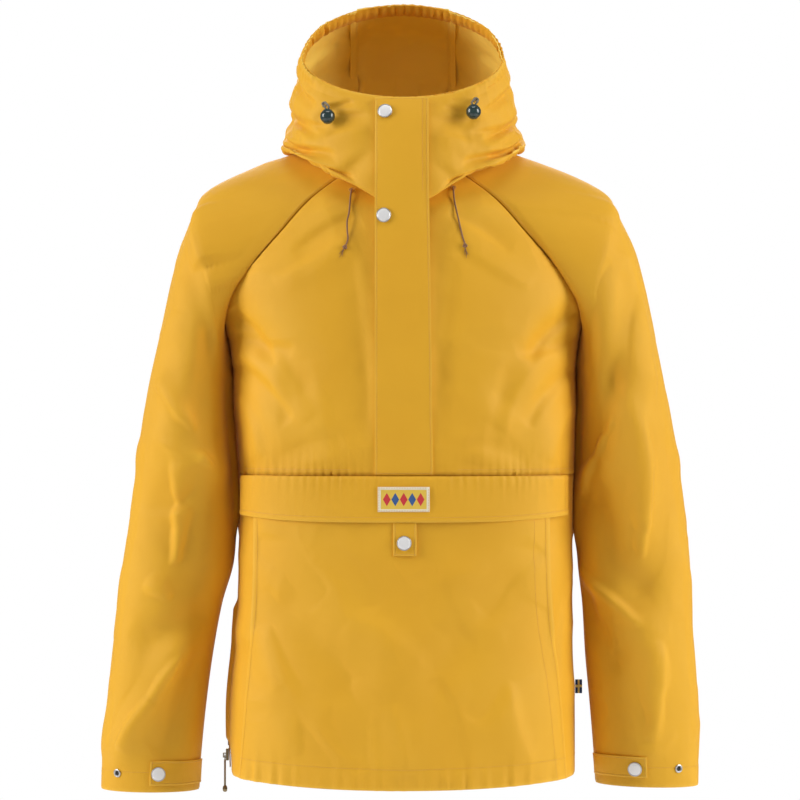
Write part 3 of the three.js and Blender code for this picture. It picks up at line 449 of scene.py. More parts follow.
def crease_height(creases, x, z):
    """Height of sharper creases: bowed lines with tapered ends, steeper on one side."""
    height = np.zeros(np.broadcast(x, z).shape)
    names = ("x1", "z1", "x2", "z2", "wide", "depth", "bow")
    for x1, z1, x2, z2, wide, deep, bow in zip(*(creases[k] for k in names)):
        length = np.hypot(x2 - x1, z2 - z1)
        ux, uz = (x2 - x1) / length, (z2 - z1) / length
        t = ((x - x1) * ux + (z - z1) * uz) / length
        inside = np.clip(t, 0, 1)
        off = (x - x1) * -uz + (z - z1) * ux - bow * 4 * inside * (1 - inside)
        past = length * (np.abs(t - inside))
        width = np.where(off > 0, wide * STEEP, wide * GENTLE)
        taper = np.sqrt(np.clip(4 * inside * (1 - inside), 0, 1)) * 0.85 + 0.15
        height = height - deep * taper * np.exp(-(off / width) ** 2 - (past / wide) ** 2)
    return height


def soft_noise(x, z, size, seed):
    """Smooth noise between -1 and 1 with cells of the given size."""
    rng = np.random.default_rng(seed)
    cells = rng.uniform(-1, 1, (64, 64))
    u, v = np.asarray(x) / size + 31.7, np.asarray(z) / size + 47.3
    i, j = np.floor(u).astype(int), np.floor(v).astype(int)
    s, t = smooth(0, 1, u - i), smooth(0, 1, v - j)
    corner = lambda a, b: cells[(j + b) % 64, (i + a) % 64]
    low = mix(corner(0, 0), corner(1, 0), s)
    high = mix(corner(0, 1), corner(1, 1), s)
    return mix(low, high, t)


def crumple(x, z, seed, strength=1.0):
    """Shallow facets of stiff waxed cloth: sharp low ridges between soft hollows."""
    warp_x = x + 9 * soft_noise(x, z, 60, seed + 1)
    warp_z = z + 9 * soft_noise(x, z, 60, seed + 2)
    large = 1 - 2 * np.abs(soft_noise(warp_x, warp_z, 70, seed + 3))
    small = 1 - 2 * np.abs(soft_noise(warp_x, warp_z, 30, seed + 4))
    return strength * (1.3 * large + 0.45 * small - 0.6)


# A panel's seam allowance reaches this share past its raglan seam, under the sleeve
PAST_SEAM = 1.08


def body(rows, face, folds):
    def at(across, z):
        across = np.clip(across, -PAST_SEAM, PAST_SEAM)
        z = np.clip(z, rows["z"][0], rows["z"][-1])
        half, power = read(rows, "half", z), read(rows, "round", z)
        edge = np.arcsin(np.clip(read(rows, "seam", z) / half, 0, 1))
        swing = np.sin(across * edge)
        x = read(rows, "shift", z) + half * swing
        y = face * read(rows, "depth", z) * (1 - np.abs(swing) ** power) ** (1 / power)
        height = z - read(rows, "drop", z) * (1 - (swing / np.sin(edge)) ** 2)
        fade = 1 - smooth(0.8, 1, np.abs(across))
        return stack(x, y - face * fold_depth(folds, x, height) * fade, height)
    return at


front = body(FRONT, -1, FRONT_FOLDS)
back = body(BACK, 1, BACK_FOLDS)


def across_at(x, z):
    half = read(FRONT, "half", z)
    edge = np.arcsin(np.clip(read(FRONT, "seam", z) / half, 0, 1))
    return np.arcsin(np.clip((x - read(FRONT, "shift", z)) / half, -1, 1)) / edge


NECK_FRONT_ANGLE = asin(NECK_SEAM_HALF["front"] / NECK["half"])
NECK_BACK_ANGLE = pi - asin(NECK_SEAM_HALF["back"] / NECK["half"])


def neck_point(angle):
    angle = np.asarray(angle, float)
    t = np.abs(angle)
    y = -np.cos(t) * np.where(t < pi / 2, NECK["front"], NECK["back"])
    at_front = NECK["front_seam"] - NECK_DIP["front"] * (1 - (np.sin(t) / sin(NECK_FRONT_ANGLE)) ** 2)
    at_back = NECK["back_seam"] - NECK_DIP["back"] * (1 - (np.sin(t) / sin(NECK_BACK_ANGLE)) ** 2)
    span = NECK_BACK_ANGLE - NECK_FRONT_ANGLE
    slope_front = 2 * NECK_DIP["front"] * span * cos(NECK_FRONT_ANGLE) / sin(NECK_FRONT_ANGLE)
    slope_back = 2 * NECK_DIP["back"] * span * cos(NECK_BACK_ANGLE) / sin(NECK_BACK_ANGLE)
    over = np.clip((t - NECK_FRONT_ANGLE) / span, 0, 1)
    shoulder = hermite(NECK["front_seam"], NECK["back_seam"], slope_front, slope_back, over)
    z = np.where(t <= NECK_FRONT_ANGLE, at_front, np.where(t >= NECK_BACK_ANGLE, at_back, shoulder))
    return stack(NECK["half"] * np.sin(angle), y, z)


def raglan_point(side, turn):
    up = mix(UNDERARM, NECK["front_seam"], np.clip(turn / RAGLAN_FRONT, 0, 1))
    down = mix(UNDERARM, NECK["back_seam"], np.clip((1 - turn) / (1 - RAGLAN_BACK), 0, 1))
    over = np.clip((turn - RAGLAN_FRONT) / (RAGLAN_BACK - RAGLAN_FRONT), 0, 1)
    neck = neck_point(side * mix(NECK_FRONT_ANGLE, NECK_BACK_ANGLE, over))
    low = (turn < RAGLAN_FRONT)[..., None]
    high = (turn > RAGLAN_BACK)[..., None]
    return np.where(low, front(side, up), np.where(high, back(side, down), neck))


def sleeve_ring(rows, side, turn, row):
    value = lambda key: read(rows, key, row, "row")
    swing, reach = np.cos(2 * pi * turn), np.sin(2 * pi * turn)
    x = (value("inX") + value("outX")) / 2 + swing * (value("inX") - value("outX")) / 2
    z = (value("inZ") + value("outZ")) / 2 + swing * (value("inZ") - value("outZ")) / 2
    y = -reach * np.where(reach > 0, value("front"), value("back"))
    return stack(side * x, y, z)


def sleeve(name):
    """Sleeve surface: turn 0 is by the body, 0.25 in front; row 0 is the raglan seam."""
    side, rows = SIDE[name], SLEEVE[name]

    def at(turn, row):
        turn, row = np.broadcast_arrays(np.mod(np.asarray(turn, float), 1), np.asarray(row, float))
        low = sleeve_ring(rows, side, turn, np.maximum(row, 1))
        out = stack(-side * np.cos(2 * pi * turn), -np.sin(2 * pi * turn), 0)
        fade = smooth(1, 2, row) * (1 - smooth(CUFF_ROW - 1, CUFF_ROW, row))
        fade = fade * (1 - smooth(0.42, 0.5, np.abs(turn - 0.5)))
        folded = fold_depth(SLEEVE_FOLDS[name], SLEEVE_ROUND * (turn - 0.5), low[..., 2]) * fade
        low = low - out * folded[..., None]
        start, end = raglan_point(side, turn), sleeve_ring(rows, side, turn, 1)
        following = sleeve_ring(rows, side, turn, 1.1)
        chord = end - start
        length = np.linalg.norm(chord, axis=-1)
        lead = chord.copy()
        over_shoulder = smooth(0.3, 0.5, turn) * (1 - smooth(0.5, 0.7, turn))
        lead[..., 2] += SHOULDER_LIFT * length * over_shoulder
        step = following - end
        bend = mix(UNDERARM_BEND, SHOULDER_BEND, over_shoulder)
        arrive = step / np.linalg.norm(step, axis=-1)[..., None] * (bend * length)[..., None]
        high = hermite(start, end, lead, arrive, np.clip(row, 0, 1)[..., None])
        return np.where((row >= 1)[..., None], low, high)
    return at


SLEEVES = {name: sleeve(name) for name in SIDE}


def hood_ring(angle, index):
    ring = {key: values[np.clip(index, 1, HOOD_TOP) - 1] for key, values in HOOD.items()}
    t = np.abs(angle)
    y = ring["mid"] - np.cos(t) * np.where(t < pi / 2, ring["front"], ring["back"])
    end = np.where(t < pi / 2, ring["zFront"], ring["zBack"])
    rise = mix(1 - np.abs(np.cos(t)), np.sin(t), ring["vee"])
    point = stack(ring["half"] * np.sin(angle), y, end + (ring["zSide"] - end) * rise)
    return np.where((index <= 0)[..., None], neck_point(angle) + (0, 0, 1), point)


def hood(angle, row):
    """Hood surface: angle 0 is the middle of the front; row 0 is the neckline, 5 the face opening."""
    angle, row = np.broadcast_arrays(np.asarray(angle, float), np.asarray(row, float))
    angle = np.where(angle > pi, angle - 2 * pi, angle)
    start = np.clip(np.floor(row).astype(int), 0, HOOD_TOP - 1)
    before, a, b, after = (hood_ring(angle, start + step) for step in (-1, 0, 1, 2))
    slope_a = np.where((start == 0)[..., None], b - a, (b - before) / 2)
    slope_b = np.where((start == HOOD_TOP - 1)[..., None], b - a, (after - a) / 2)
    return hermite(a, b, slope_a, slope_b, np.clip(row - start, 0, 1)[..., None])


def flap(across, z):
    x = mix(read(FLAP, "right", z), read(FLAP, "left", z), (across + 1) / 2)
    return stack(x, read(FLAP, "y", z) + read(FLAP, "bow", z) * across ** 2, z)


def outward(at, u, v, turn):
    step = 0.002
    along_u = at(u + step, v) - at(u - step, v)
    along_v = at(u, v + step) - at(u, v - step)
    n = np.cross(along_u, along_v) * turn
    return n / np.linalg.norm(n, axis=-1)[..., None]


# Reliefs: how far the cloth stands out from its plain surface, in millimetres
def puckers(along, seed, pitch=9.0):
    """Uneven gathers along a seam, between about -1 and 1."""
    drift = along + 5 * soft_noise(along, along * 0, 38, seed)
    strength = 0.55 + 0.45 * soft_noise(along, along * 0, 30, seed + 5)
    return strength * (np.sin(2 * pi * drift / pitch) + 0.5 * np.sin(2 * pi * drift / (pitch * 0.61)))


def front_relief(x, z):
    """Relief of both front panels, which runs on across the seam between them."""
    height = crease_height(FRONT_CREASES, x, z) + crumple(x, z, 11)
    from_seam = np.abs(z - CHEST_SEAM)
    height = height + 1.2 * puckers(x, 21) * np.exp(-from_seam / 14)
    beside_flap = smooth(26, 40, np.abs(x))
    return mix(0.2 * height, height, beside_flap)


def outer_front(x, z, lift=0.0):
    """The point of the front's cloth at x and z, moved out, and its outward direction."""
    x, z = np.broadcast_arrays(np.asarray(x, float), np.asarray(z, float))
    height = z.copy()
    for _ in range(6):
        height = height + z - front(across_at(x, height), height)[..., 2]
    across = across_at(x, height)
    n = outward(front, across, height, 1)
    return front(across, height) + n * np.asarray(lift, float)[..., None], n


# Neck drawcord: its two free ends, from an eyelet on each side down the chest
CORD_RADIUS = 1.0
CORD_LIFT = CORD_RADIUS + REST
NECK_CORD = {
    "right": [
        (-60, -30), (-61, -37), (-62, -46), (-63, -58), (-65, -67), (-65, -78), (-64.2, -88), (-66, -95),
    ],
    "left": [
        (58.6, -27), (59, -35), (60, -44), (62.4, -56), (64.9, -67), (67, -77), (69.5, -87), (71.5, -93),
    ],
}
KNOT_LEAN = {"right": (-0.5, 0, -1), "left": (0.15, 0, -1)}
CORD_STEPS = 5


def through(points, steps):
    """Points on a smooth line through the given ones."""
    points = np.asarray(points, float)
    ends = np.vstack([2 * points[0] - points[1], points, 2 * points[-1] - points[-2]])
    line = []
    for i in range(1, len(ends) - 2):
        slope_a, slope_b = (ends[i + 1] - ends[i - 1]) / 2, (ends[i + 2] - ends[i]) / 2
        for t in np.arange(steps) / steps:
            line.append(hermite(ends[i], ends[i + 1], slope_a, slope_b, t))
    return np.array(line + [points[-1]])


def neck_route(name):
    route = NECK_CORD[name]
    p, n = outer_front(*route[0])
    points = [p + n * (REST + 2)]
    for i, (x, z) in enumerate(route[1:]):
        points.append(outer_front(x, z, CORD_LIFT + (1.6 if i == 0 else 0))[0])
    return through(points, CORD_STEPS)


def cord_curve(name, points, radius):
    data = bpy.data.curves.new(name, "CURVE")
    data.dimensions = "3D"
    data.bevel_depth = radius * MM
    data.bevel_resolution = 3
    data.use_fill_caps = True
    spline = data.splines.new("POLY")
    spline.points.add(len(points) - 1)
    for point, place in zip(spline.points, points):
        point.co = (*(place * MM), 1)
    piece = bpy.data.objects.new(name, data)
    scene.collection.objects.link(piece)
    return piece


CORDS = {name: cord_curve(f"drawcord_{name}", neck_route(name), CORD_RADIUS) for name in SIDE}


# Materials
def node(tree, kind, **values):
    made = tree.nodes.new(kind)
    for key, value in values.items():
        setattr(made, key, value)
    return made


def connect(tree, socket, value):
    """Give a socket a number, a colour or what another node puts out."""
    if isinstance(value, (int, float)):
        socket.default_value = value
    elif isinstance(value, tuple):
        socket.default_value = (*value, 1)
    else:
        tree.links.new(value, socket)


def feed(tree, target, **values):
    """Connect a node's inputs by name, with _ in place of each space."""
    for key, value in values.items():
        connect(tree, target.inputs[key.replace("_", " ")], value)
    return target


def maths(tree, operation, *values):
    made = node(tree, "ShaderNodeMath", operation=operation)
    for socket, value in zip(made.inputs, values):
        connect(tree, socket, value)
    return made.outputs[0]


def times(tree, a, b):
    return maths(tree, "MULTIPLY", a, b)


def times_plus(tree, a, b, c):
    return maths(tree, "MULTIPLY_ADD", a, b, c)


def between(tree, value, low, high):
    """1 where a value lies between two limits."""
    return times(tree, maths(tree, "GREATER_THAN", value, low), maths(tree, "LESS_THAN", value, high))


def ranged(tree, value, low, high):
    """A value's share of the way from one limit to the other."""
    return feed(tree, node(tree, "ShaderNodeMapRange"), Value=value, From_Min=low, From_Max=high).outputs[0]


def blend_colour(tree, factor, a, b):
    made = node(tree, "ShaderNodeMix", data_type="RGBA")
    for index, value in ((0, factor), (6, a), (7, b)):
        connect(tree, made.inputs[index], value)
    return made.outputs[2]


def bump(tree, height, strength, distance, **normal):
    made = node(tree, "ShaderNodeBump")
    return feed(tree, made, Height=height, Strength=strength, Distance=distance, **normal).outputs[0]


def noise(tree, place, scale, detail=2, **values):
    made = node(tree, "ShaderNodeTexNoise", **values)
    return feed(tree, made, Vector=place, Scale=scale, Detail=detail).outputs["Fac"]


def split(tree, place):
    made = node(tree, "ShaderNodeSeparateXYZ")
    connect(tree, made.inputs[0], place)
    return made.outputs


def new_group(name, inputs, outputs):
    """An empty node group with named sockets: (name, kind, default) in, numbers out."""
    group = bpy.data.node_groups.new(name, "ShaderNodeTree")
    for label, kind, default in inputs:
        socket = group.interface.new_socket(name=label, in_out="INPUT", socket_type=kind)
        if default is not None:
            socket.default_value = default
    for label in outputs:
        group.interface.new_socket(name=label, in_out="OUTPUT", socket_type="NodeSocketFloat")
    return group, group.nodes.new("NodeGroupInput").outputs, group.nodes.new("NodeGroupOutput")


PLACE = ("Place", "NodeSocketVector", None)


def weave_group():
    """Plain weave from a map in metres: thread height, and a mask of the hollows between threads."""
    group, given, result = new_group(
        "plain_weave", [PLACE, ("Threads per metre", "NodeSocketFloat", 1800.0)], ["Height", "Hollow"],
    )
    place = split(group, given["Place"])
    turns = times(group, given["Threads per metre"], pi)
    warp, weft = (maths(group, "SINE", times(group, place[axis], turns)) for axis in (0, 1))
    crossed = times(group, warp, weft)
    hollow = maths(group, "SUBTRACT", 1.0, maths(group, "ABSOLUTE", crossed))
    feed(group, result, Height=times_plus(group, crossed, 0.5, 0.5), Hollow=hollow)
    return group


def crinkle_group():
    """Small dents and rubbed lines of waxed cloth: a height, a mask of pale lines and a mottling."""
    group, given, result = new_group(
        "wax_crinkle", [PLACE, ("Size", "NodeSocketFloat", 60.0)], ["Height", "Lines", "Mottle"],
    )
    broad = noise(group, given["Place"], given["Size"], 3)
    fine = noise(group, given["Place"], times(group, given["Size"], 1.7), noise_type="RIDGED_MULTIFRACTAL")
    lines = ranged(group, fine, 1.1, 1.7)
    mottle = noise(group, given["Place"], 9, 4)
    feed(group, result, Height=times_plus(group, lines, 0.25, broad), Lines=lines, Mottle=mottle)
    return group


WEAVE = weave_group()
CRINKLE = crinkle_group()
CLOTH_MAP = "cloth"
EDGE_MARK = "edge"
CLOTH_THREADS = 1700.0
CLOTH_WEAVE_DEPTH = 0.00018


def grouped(tree, group, **values):
    return feed(tree, node(tree, "ShaderNodeGroup", node_tree=group), **values).outputs


def material(name, colour, **constants):
    """A material, its node tree, and its shader with what is the same all over."""
    made = bpy.data.materials.new(name)
    made.use_nodes = True
    made.diffuse_color = (*colour, 1)
    tree = made.node_tree
    return made, tree, feed(tree, tree.nodes["Principled BSDF"], Base_Color=colour, **constants)


def on_piece(tree):
    return node(tree, "ShaderNodeTexCoord").outputs["Object"]


def on_cloth(tree):
    return node(tree, "ShaderNodeUVMap", uv_map=CLOTH_MAP).outputs[0]


def cloth_material(name, base, worn_tone, mottle_and_thread_shade, roughness=0.58):
    """Woven cloth: base colour, paler where rubbed, darker in its random mottling, with painted shade between
    its threads.
    """
    made, tree, shader = material(name, base, Sheen_Weight=0.06, Sheen_Roughness=0.45, Specular_IOR_Level=0.3)
    weave = grouped(tree, WEAVE, Place=on_cloth(tree), Threads_per_metre=CLOTH_THREADS)
    crinkle = grouped(tree, CRINKLE, Place=on_piece(tree))
    mark = node(tree, "ShaderNodeAttribute", attribute_name=EDGE_MARK).outputs["Fac"]
    tone = blend_colour(tree, times(tree, ranged(tree, crinkle["Mottle"], 0.35, 0.75), 0.5), base, mottle_and_thread_shade)
    rubbed = times_plus(tree, mark, 0.55, times(tree, crinkle["Lines"], 0.1))
    tone = blend_colour(tree, rubbed, tone, worn_tone)
    # Painted shade: the cloth is darker in the hollows between its threads.
    tone = blend_colour(tree, times(tree, weave["Hollow"], 0.14), tone, mottle_and_thread_shade)
    rough = times_plus(tree, crinkle["Mottle"], 0.16, roughness - 0.08)
    normal = bump(tree, crinkle["Height"], 0.35, 0.0012)
    normal = bump(tree, weave["Height"], 0.5, CLOTH_WEAVE_DEPTH, Normal=normal)
    feed(tree, shader, Base_Color=tone, Roughness=rough, Normal=normal)
    return made


def metal_material(name, colour, roughness, metallic=1.0):
    """Metal with fine brushing and a few dull spots."""
    made, tree, shader = material(name, colour, Metallic=metallic)
    stretch = feed(tree, node(tree, "ShaderNodeMapping"), Vector=on_piece(tree))
    stretch.inputs["Scale"].default_value = (1, 1, 14)
    grain = noise(tree, stretch.outputs[0], 260.0, 3)
    tone = blend_colour(tree, grain, colour, tuple(c * 0.86 for c in colour))
    rough = times_plus(tree, grain, 0.22, roughness - 0.1)
    feed(tree, shader, Base_Color=tone, Roughness=rough, Normal=bump(tree, grain, 0.15, 0.0002))
    return made


def braid_material(name, light, dark, stripes):
    """Twisted thread or braided cord: slanting strands, so many in a metre."""
    made, tree, shader = material(name, light, Roughness=0.8, Sheen_Weight=0.3)
    wave = node(tree, "ShaderNodeTexWave", bands_direction="DIAGONAL")
    strands = feed(tree, wave, Vector=on_piece(tree), Scale=stripes, Distortion=1.5).outputs["Fac"]
    tone = blend_colour(tree, strands, light, dark)
    feed(tree, shader, Base_Color=tone, Normal=bump(tree, strands, 0.6, 0.0005))
    return made


def plastic_material(name, colour, deep):
    """Tinted moulded plastic with a cloudy inside."""
    made, tree, shader = material(name, colour, Coat_Weight=0.4)
    cloud = noise(tree, on_piece(tree), 140)
    tone = blend_colour(tree, cloud, colour, deep)
    feed(tree, shader, Base_Color=tone, Roughness=times_plus(tree, cloud, 0.1, 0.16))
    return made


PATCH_SIZE = (0.0595, 0.029)
PATCH_BORDER = 0.0032
# The dark brown tone is painted shade between the patch's threads.
PATCH_TONES = {
    "border": (0.96, 0.88, 0.68), "ground": (0.88, 0.58, 0.06),
    "red": (0.66, 0.012, 0.03), "blue": (0.006, 0.09, 0.32), "gap": (0.3, 0.2, 0.06),
}
LOZENGE = {"pitch": 0.0098, "tall": 0.017, "reach": 0.46, "count": 5}


def patch_group():
    """Woven patch from a map in metres: its ground inside the border, and a row of lozenges of two kinds."""
    group, given, result = new_group("lozenge_row", [PLACE], ["Ground", "Lozenge", "Other"])
    across, up = split(group, given["Place"])[:2]
    half = PATCH_SIZE[0] / 2 - PATCH_BORDER
    in_border = between(group, up, PATCH_BORDER, PATCH_SIZE[1] - PATCH_BORDER)
    ground = times(group, between(group, across, -half, half), in_border)
    cell = maths(group, "ADD", maths(group, "DIVIDE", across, LOZENGE["pitch"]), 100.5)
    from_middle = maths(group, "ABSOLUTE", maths(group, "SUBTRACT", maths(group, "FRACT", cell), 0.5))
    level = maths(group, "DIVIDE", maths(group, "SUBTRACT", up, PATCH_SIZE[1] / 2), LOZENGE["tall"])
    reach = maths(group, "ADD", from_middle, maths(group, "ABSOLUTE", level))
    row_half = LOZENGE["count"] / 2 * LOZENGE["pitch"]
    in_row = times(group, between(group, across, -row_half, row_half), ground)
    lozenge = times(group, maths(group, "LESS_THAN", reach, LOZENGE["reach"]), in_row)
    other = maths(group, "MODULO", maths(group, "FLOOR", cell), 2.0)
    feed(group, result, Ground=ground, Lozenge=lozenge, Other=other)
    return group


def patch_material():
    """Dense satin weave: cream border, yellow ground and a row of red and blue lozenges, with painted shade
    between its threads.
    """
    tones = PATCH_TONES
    made, tree, shader = material("woven_patch", (0.8, 0.66, 0.3), Roughness=0.7, Sheen_Weight=0.1)
    row = grouped(tree, patch_group(), Place=on_cloth(tree))
    weave = grouped(tree, WEAVE, Place=on_cloth(tree), Threads_per_metre=2600.0)
    tone = blend_colour(tree, row["Ground"], tones["border"], tones["ground"])
    motif = blend_colour(tree, row["Other"], tones["red"], tones["blue"])
    tone = blend_colour(tree, row["Lozenge"], tone, motif)
    # Painted shade: darker in the hollows between the threads.
    tone = blend_colour(tree, times(tree, weave["Hollow"], 0.12), tone, tones["gap"])
    height = times_plus(tree, row["Lozenge"], 0.6, weave["Height"])
    feed(tree, shader, Base_Color=tone, Normal=bump(tree, height, 0.6, 0.0003))
    return made


FLAG_BLUE = (0.015, 0.06, 0.19)
FLAG_YELLOW = (0.95, 0.78, 0.2)
CROSS_LEVEL = (0.0072, 0.0102)
CROSS_OUT = (0.0034, 0.0056)


def label_material():
    """Woven flag: a yellow cross on blue, by height and by the distance from the fold."""
    made, tree, shader = material("woven_label", (0.02, 0.07, 0.2), Roughness=0.75)
    across, up = split(tree, on_cloth(tree))[:2]
    weave = grouped(tree, WEAVE, Place=on_cloth(tree), Threads_per_metre=3000.0)
    upright = between(tree, maths(tree, "ABSOLUTE", across), *CROSS_OUT)
    cross = maths(tree, "MAXIMUM", between(tree, up, *CROSS_LEVEL), upright)
    tone = blend_colour(tree, cross, FLAG_BLUE, FLAG_YELLOW)
    # Painted shade: nearly black in the hollows between the threads.
    tone = blend_colour(tree, times(tree, weave["Hollow"], 0.2), tone, (0.02, 0.02, 0.03))
    feed(tree, shader, Base_Color=tone, Normal=bump(tree, weave["Height"], 0.6, 0.0003))
    return made


YELLOW = (0.83, 0.435, 0.022)
YELLOW_WORN = (0.92, 0.55, 0.06)
# This darker yellow serves both the random mottling and the painted shade between the threads.
YELLOW_MOTTLE_AND_THREAD_SHADE = (0.75, 0.36, 0.012)
CLOTH = cloth_material("waxed_cloth", YELLOW, YELLOW_WORN, YELLOW_MOTTLE_AND_THREAD_SHADE)
EDGE_CLOTH = cloth_material("hood_edge_cloth", (0.84, 0.41, 0.024), YELLOW_WORN, YELLOW_MOTTLE_AND_THREAD_SHADE)
# Brighter copy of the cloth for the hood's inside faces: painted light where the hood's inside lies in shade,
# and partly a paler inner face.
HOOD_INSIDE_PAINTED_LIGHT = cloth_material("hood_inside_painted_light_cloth", (1, 0.69, 0.12), (1, 0.75, 0.17), (0.96, 0.6, 0.08))
THREAD = braid_material("sewing_thread", (0.85, 0.44, 0.035), (0.72, 0.33, 0.02), 900.0)
STUD_METAL = metal_material("press_stud_metal", (1, 0.99, 0.98), 0.4, metallic=0.25)
SOCKET_METAL = metal_material("socket_metal", (0.62, 0.61, 0.6), 0.34)
EYELET_METAL = metal_material("eyelet_metal", (0.2, 0.15, 0.08), 0.36)
# Near black for the bottoms of the holes in sockets and eyelets: painted shade.
PAINTED_HOLE_SHADE = metal_material("painted_hole_shade", (0.05, 0.05, 0.05), 0.5)
ZIP_METAL = metal_material("zip_metal", (0.36, 0.27, 0.15), 0.36)
ZIP_TAPE = cloth_material("zip_tape", (0.6, 0.3, 0.03), (0.7, 0.4, 0.06), (0.45, 0.21, 0.02), 0.8)
LOCK_PLASTIC = plastic_material("cord_lock_plastic", (0.035, 0.075, 0.07), (0.008, 0.018, 0.02))
HOOD_CORD_BRAID = braid_material("hood_cord_braid", (0.4, 0.33, 0.22), (0.012, 0.012, 0.012), 500.0)
NECK_CORD_BRAID = braid_material("neck_drawcord_braid", (0.42, 0.2, 0.09), (0.2, 0.085, 0.035), 400.0)
PATCH_CLOTH = patch_material()
LABEL_CLOTH = label_material()


# Making cloth
CLOTH_THICK = 1.2


def bell(off, wide):
    return np.exp(-(off / wide) ** 2)


def fading(off, wide):
    return np.exp(-off / wide)


def normals_of(points, wrap, turn):
    if wrap:
        across = np.roll(points, -1, 1) - np.roll(points, 1, 1)
    else:
        across = np.gradient(points, axis=1)
    n = np.cross(across, np.gradient(points, axis=0)) * turn
    return n / np.maximum(np.linalg.norm(n, axis=-1), 1e-9)[..., None]


def lengths(points, axis):
    """Distance walked along each line of the grid."""
    steps = np.linalg.norm(np.diff(points, axis=axis), axis=-1)
    return np.concatenate([np.zeros_like(np.take(steps, [0], axis)), np.cumsum(steps, axis)], axis)


def edge_distances(points):
    along, up = lengths(points, 1), lengths(points, 0)
    return {"first": along, "last": along[:, -1:] - along, "low": up, "high": up[-1:] - up}


def nearest(away, *edges):
    return np.minimum.reduce([away[edge] for edge in edges])


def roll_in(distance, depth=1.3, over=1.6):
    """A seamed edge turns in."""
    return -depth * bell(distance, over)


def topstitch(distance, inset, along, seed, ruffle=0.35):
    """Raised edge between seam and stitching, with the dent of the thread and small puckers."""
    raised = 0.55 * (1 - smooth(inset - 0.5, inset + 1.2, distance))
    dent = -0.45 * bell(distance - inset, 0.8)
    return raised + dent + ruffle * puckers(along, seed) * fading(np.abs(distance - inset), 7)


def worn(away, edges, over=2.2):
    """Mark of rubbed cloth along the named edges."""
    near = np.zeros_like(away["low"])
    for edge in edges:
        near = np.maximum(near, bell(away[edge], over))
    return near


def settle(piece, slot_name, *nodes):
    """Fix a piece to the garment and hide the solids it stands for; its slot name is not used."""
    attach(piece, "garment")
    if nodes:
        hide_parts(*nodes)


def mesh_piece(name, places, faces, uvs, mark, finish, inside, outer_faces):
    """A mesh with its cloth map and wear mark. Faces from outer_faces on take the inside's material."""
    mesh = bpy.data.meshes.new(name)
    mesh.from_pydata((places * MM).tolist(), [], faces.tolist())
    layer = mesh.uv_layers.new(name=CLOTH_MAP)
    layer.data.foreach_set("uv", (uvs * MM).astype(np.float32).ravel())
    attribute = mesh.attributes.new(EDGE_MARK, "FLOAT", "POINT")
    attribute.data.foreach_set("value", mark.astype(np.float32).ravel())
    mesh.polygons.foreach_set("use_smooth", np.ones(len(faces), bool))
    mesh.set_sharp_from_angle(angle=radians(60))
    mesh.materials.append(finish)
    if inside:
        mesh.materials.append(inside)
        beyond = np.arange(len(faces)) >= outer_faces
        mesh.polygons.foreach_set("material_index", beyond.astype(np.int32))
    mesh.validate()
    piece = bpy.data.objects.new(name, mesh)
    scene.collection.objects.link(piece)
    return piece


def shell(name, outer, n, wrap, turn, mark, thick, finish, inside):
    """A thin closed wall under a grid of outer points."""
    tall, wide = outer.shape[:2]
    inner = outer - n * thick
    across = lengths(np.concatenate([outer, outer[:, :1]], 1) if wrap else outer, 1)
    up = lengths(outer, 0)
    up = np.concatenate([up, up[:, :1]], 1) if wrap else up
    flat = np.stack([across - across.mean(1, keepdims=True), up], -1)
    last = wide if wrap else wide - 1
    j, i = np.meshgrid(np.arange(tall - 1), np.arange(last), indexing="ij")
    corners = [(j, i), (j, i + 1), (j + 1, i + 1), (j + 1, i)]
    if turn < 0:
        corners = corners[::-1]
    outside = np.stack([a * wide + b % wide for a, b in corners], -1).reshape(-1, 4)
    flat_outside = np.stack([flat[a, b] for a, b in corners], 2).reshape(-1, 4, 2)
    faces, uvs = [outside, outside[:, ::-1] + tall * wide], [flat_outside, flat_outside[:, ::-1]]

    def rim(line):
        a = np.array([r * wide + c % wide for r, c in line])
        uv = np.array([flat[r, c] for r, c in line])
        quads = np.stack([a[1:], a[:-1], a[:-1] + tall * wide, a[1:] + tall * wide], -1)
        flat_quads = np.stack([uv[1:], uv[:-1], uv[:-1], uv[1:]], 1)
        if turn < 0:
            quads, flat_quads = quads[:, ::-1], flat_quads[:, ::-1]
        faces.append(quads)
        uvs.append(flat_quads)

    rim([(0, c) for c in range(last + 1)])
    rim([(tall - 1, c) for c in range(last, -1, -1)])
    if not wrap:
        rim([(r, wide - 1) for r in range(tall)])
        rim([(r, 0) for r in range(tall - 1, -1, -1)])
    places = np.concatenate([outer.reshape(-1, 3), inner.reshape(-1, 3)])
    marks = np.concatenate([mark.ravel(), mark.ravel()])
    faces, uvs = np.concatenate(faces), np.concatenate(uvs)
    return mesh_piece(name, places, faces, uvs, marks, finish, inside, len(outside))


PANELS = {}


def panel(
    name, stands_for, at, us, vs, turn, relief, rubbed=(), slot_name="waxed_cloth",
    wrap=False, lift=0.0, thick=CLOTH_THICK, finish=CLOTH, inside=None,
):
    """A cloth panel: us and vs are grids of the surface's own coordinates."""
    plain = at(us, vs)
    away = edge_distances(plain)
    outer = plain + normals_of(plain, wrap, turn) * (lift + relief(plain, us, vs, away))[..., None]
    n = normals_of(outer, wrap, turn)
    piece = shell(name, outer, n, wrap, turn, worn(away, rubbed), thick, finish, inside)
    PANELS[name] = {"outer": outer, "normal": n, "away": away, "wrap": wrap}
    settle(piece, slot_name, stands_for)


def grid(limits, heights, columns):
    """Coordinates for a panel: between limits(v) across, at each height."""
    vs = np.repeat(np.asarray(heights, float)[:, None], columns + 1, 1)
    low, high = limits(vs[:, :1])
    return low + (high - low) * np.linspace(0, 1, columns + 1)[None, :], vs


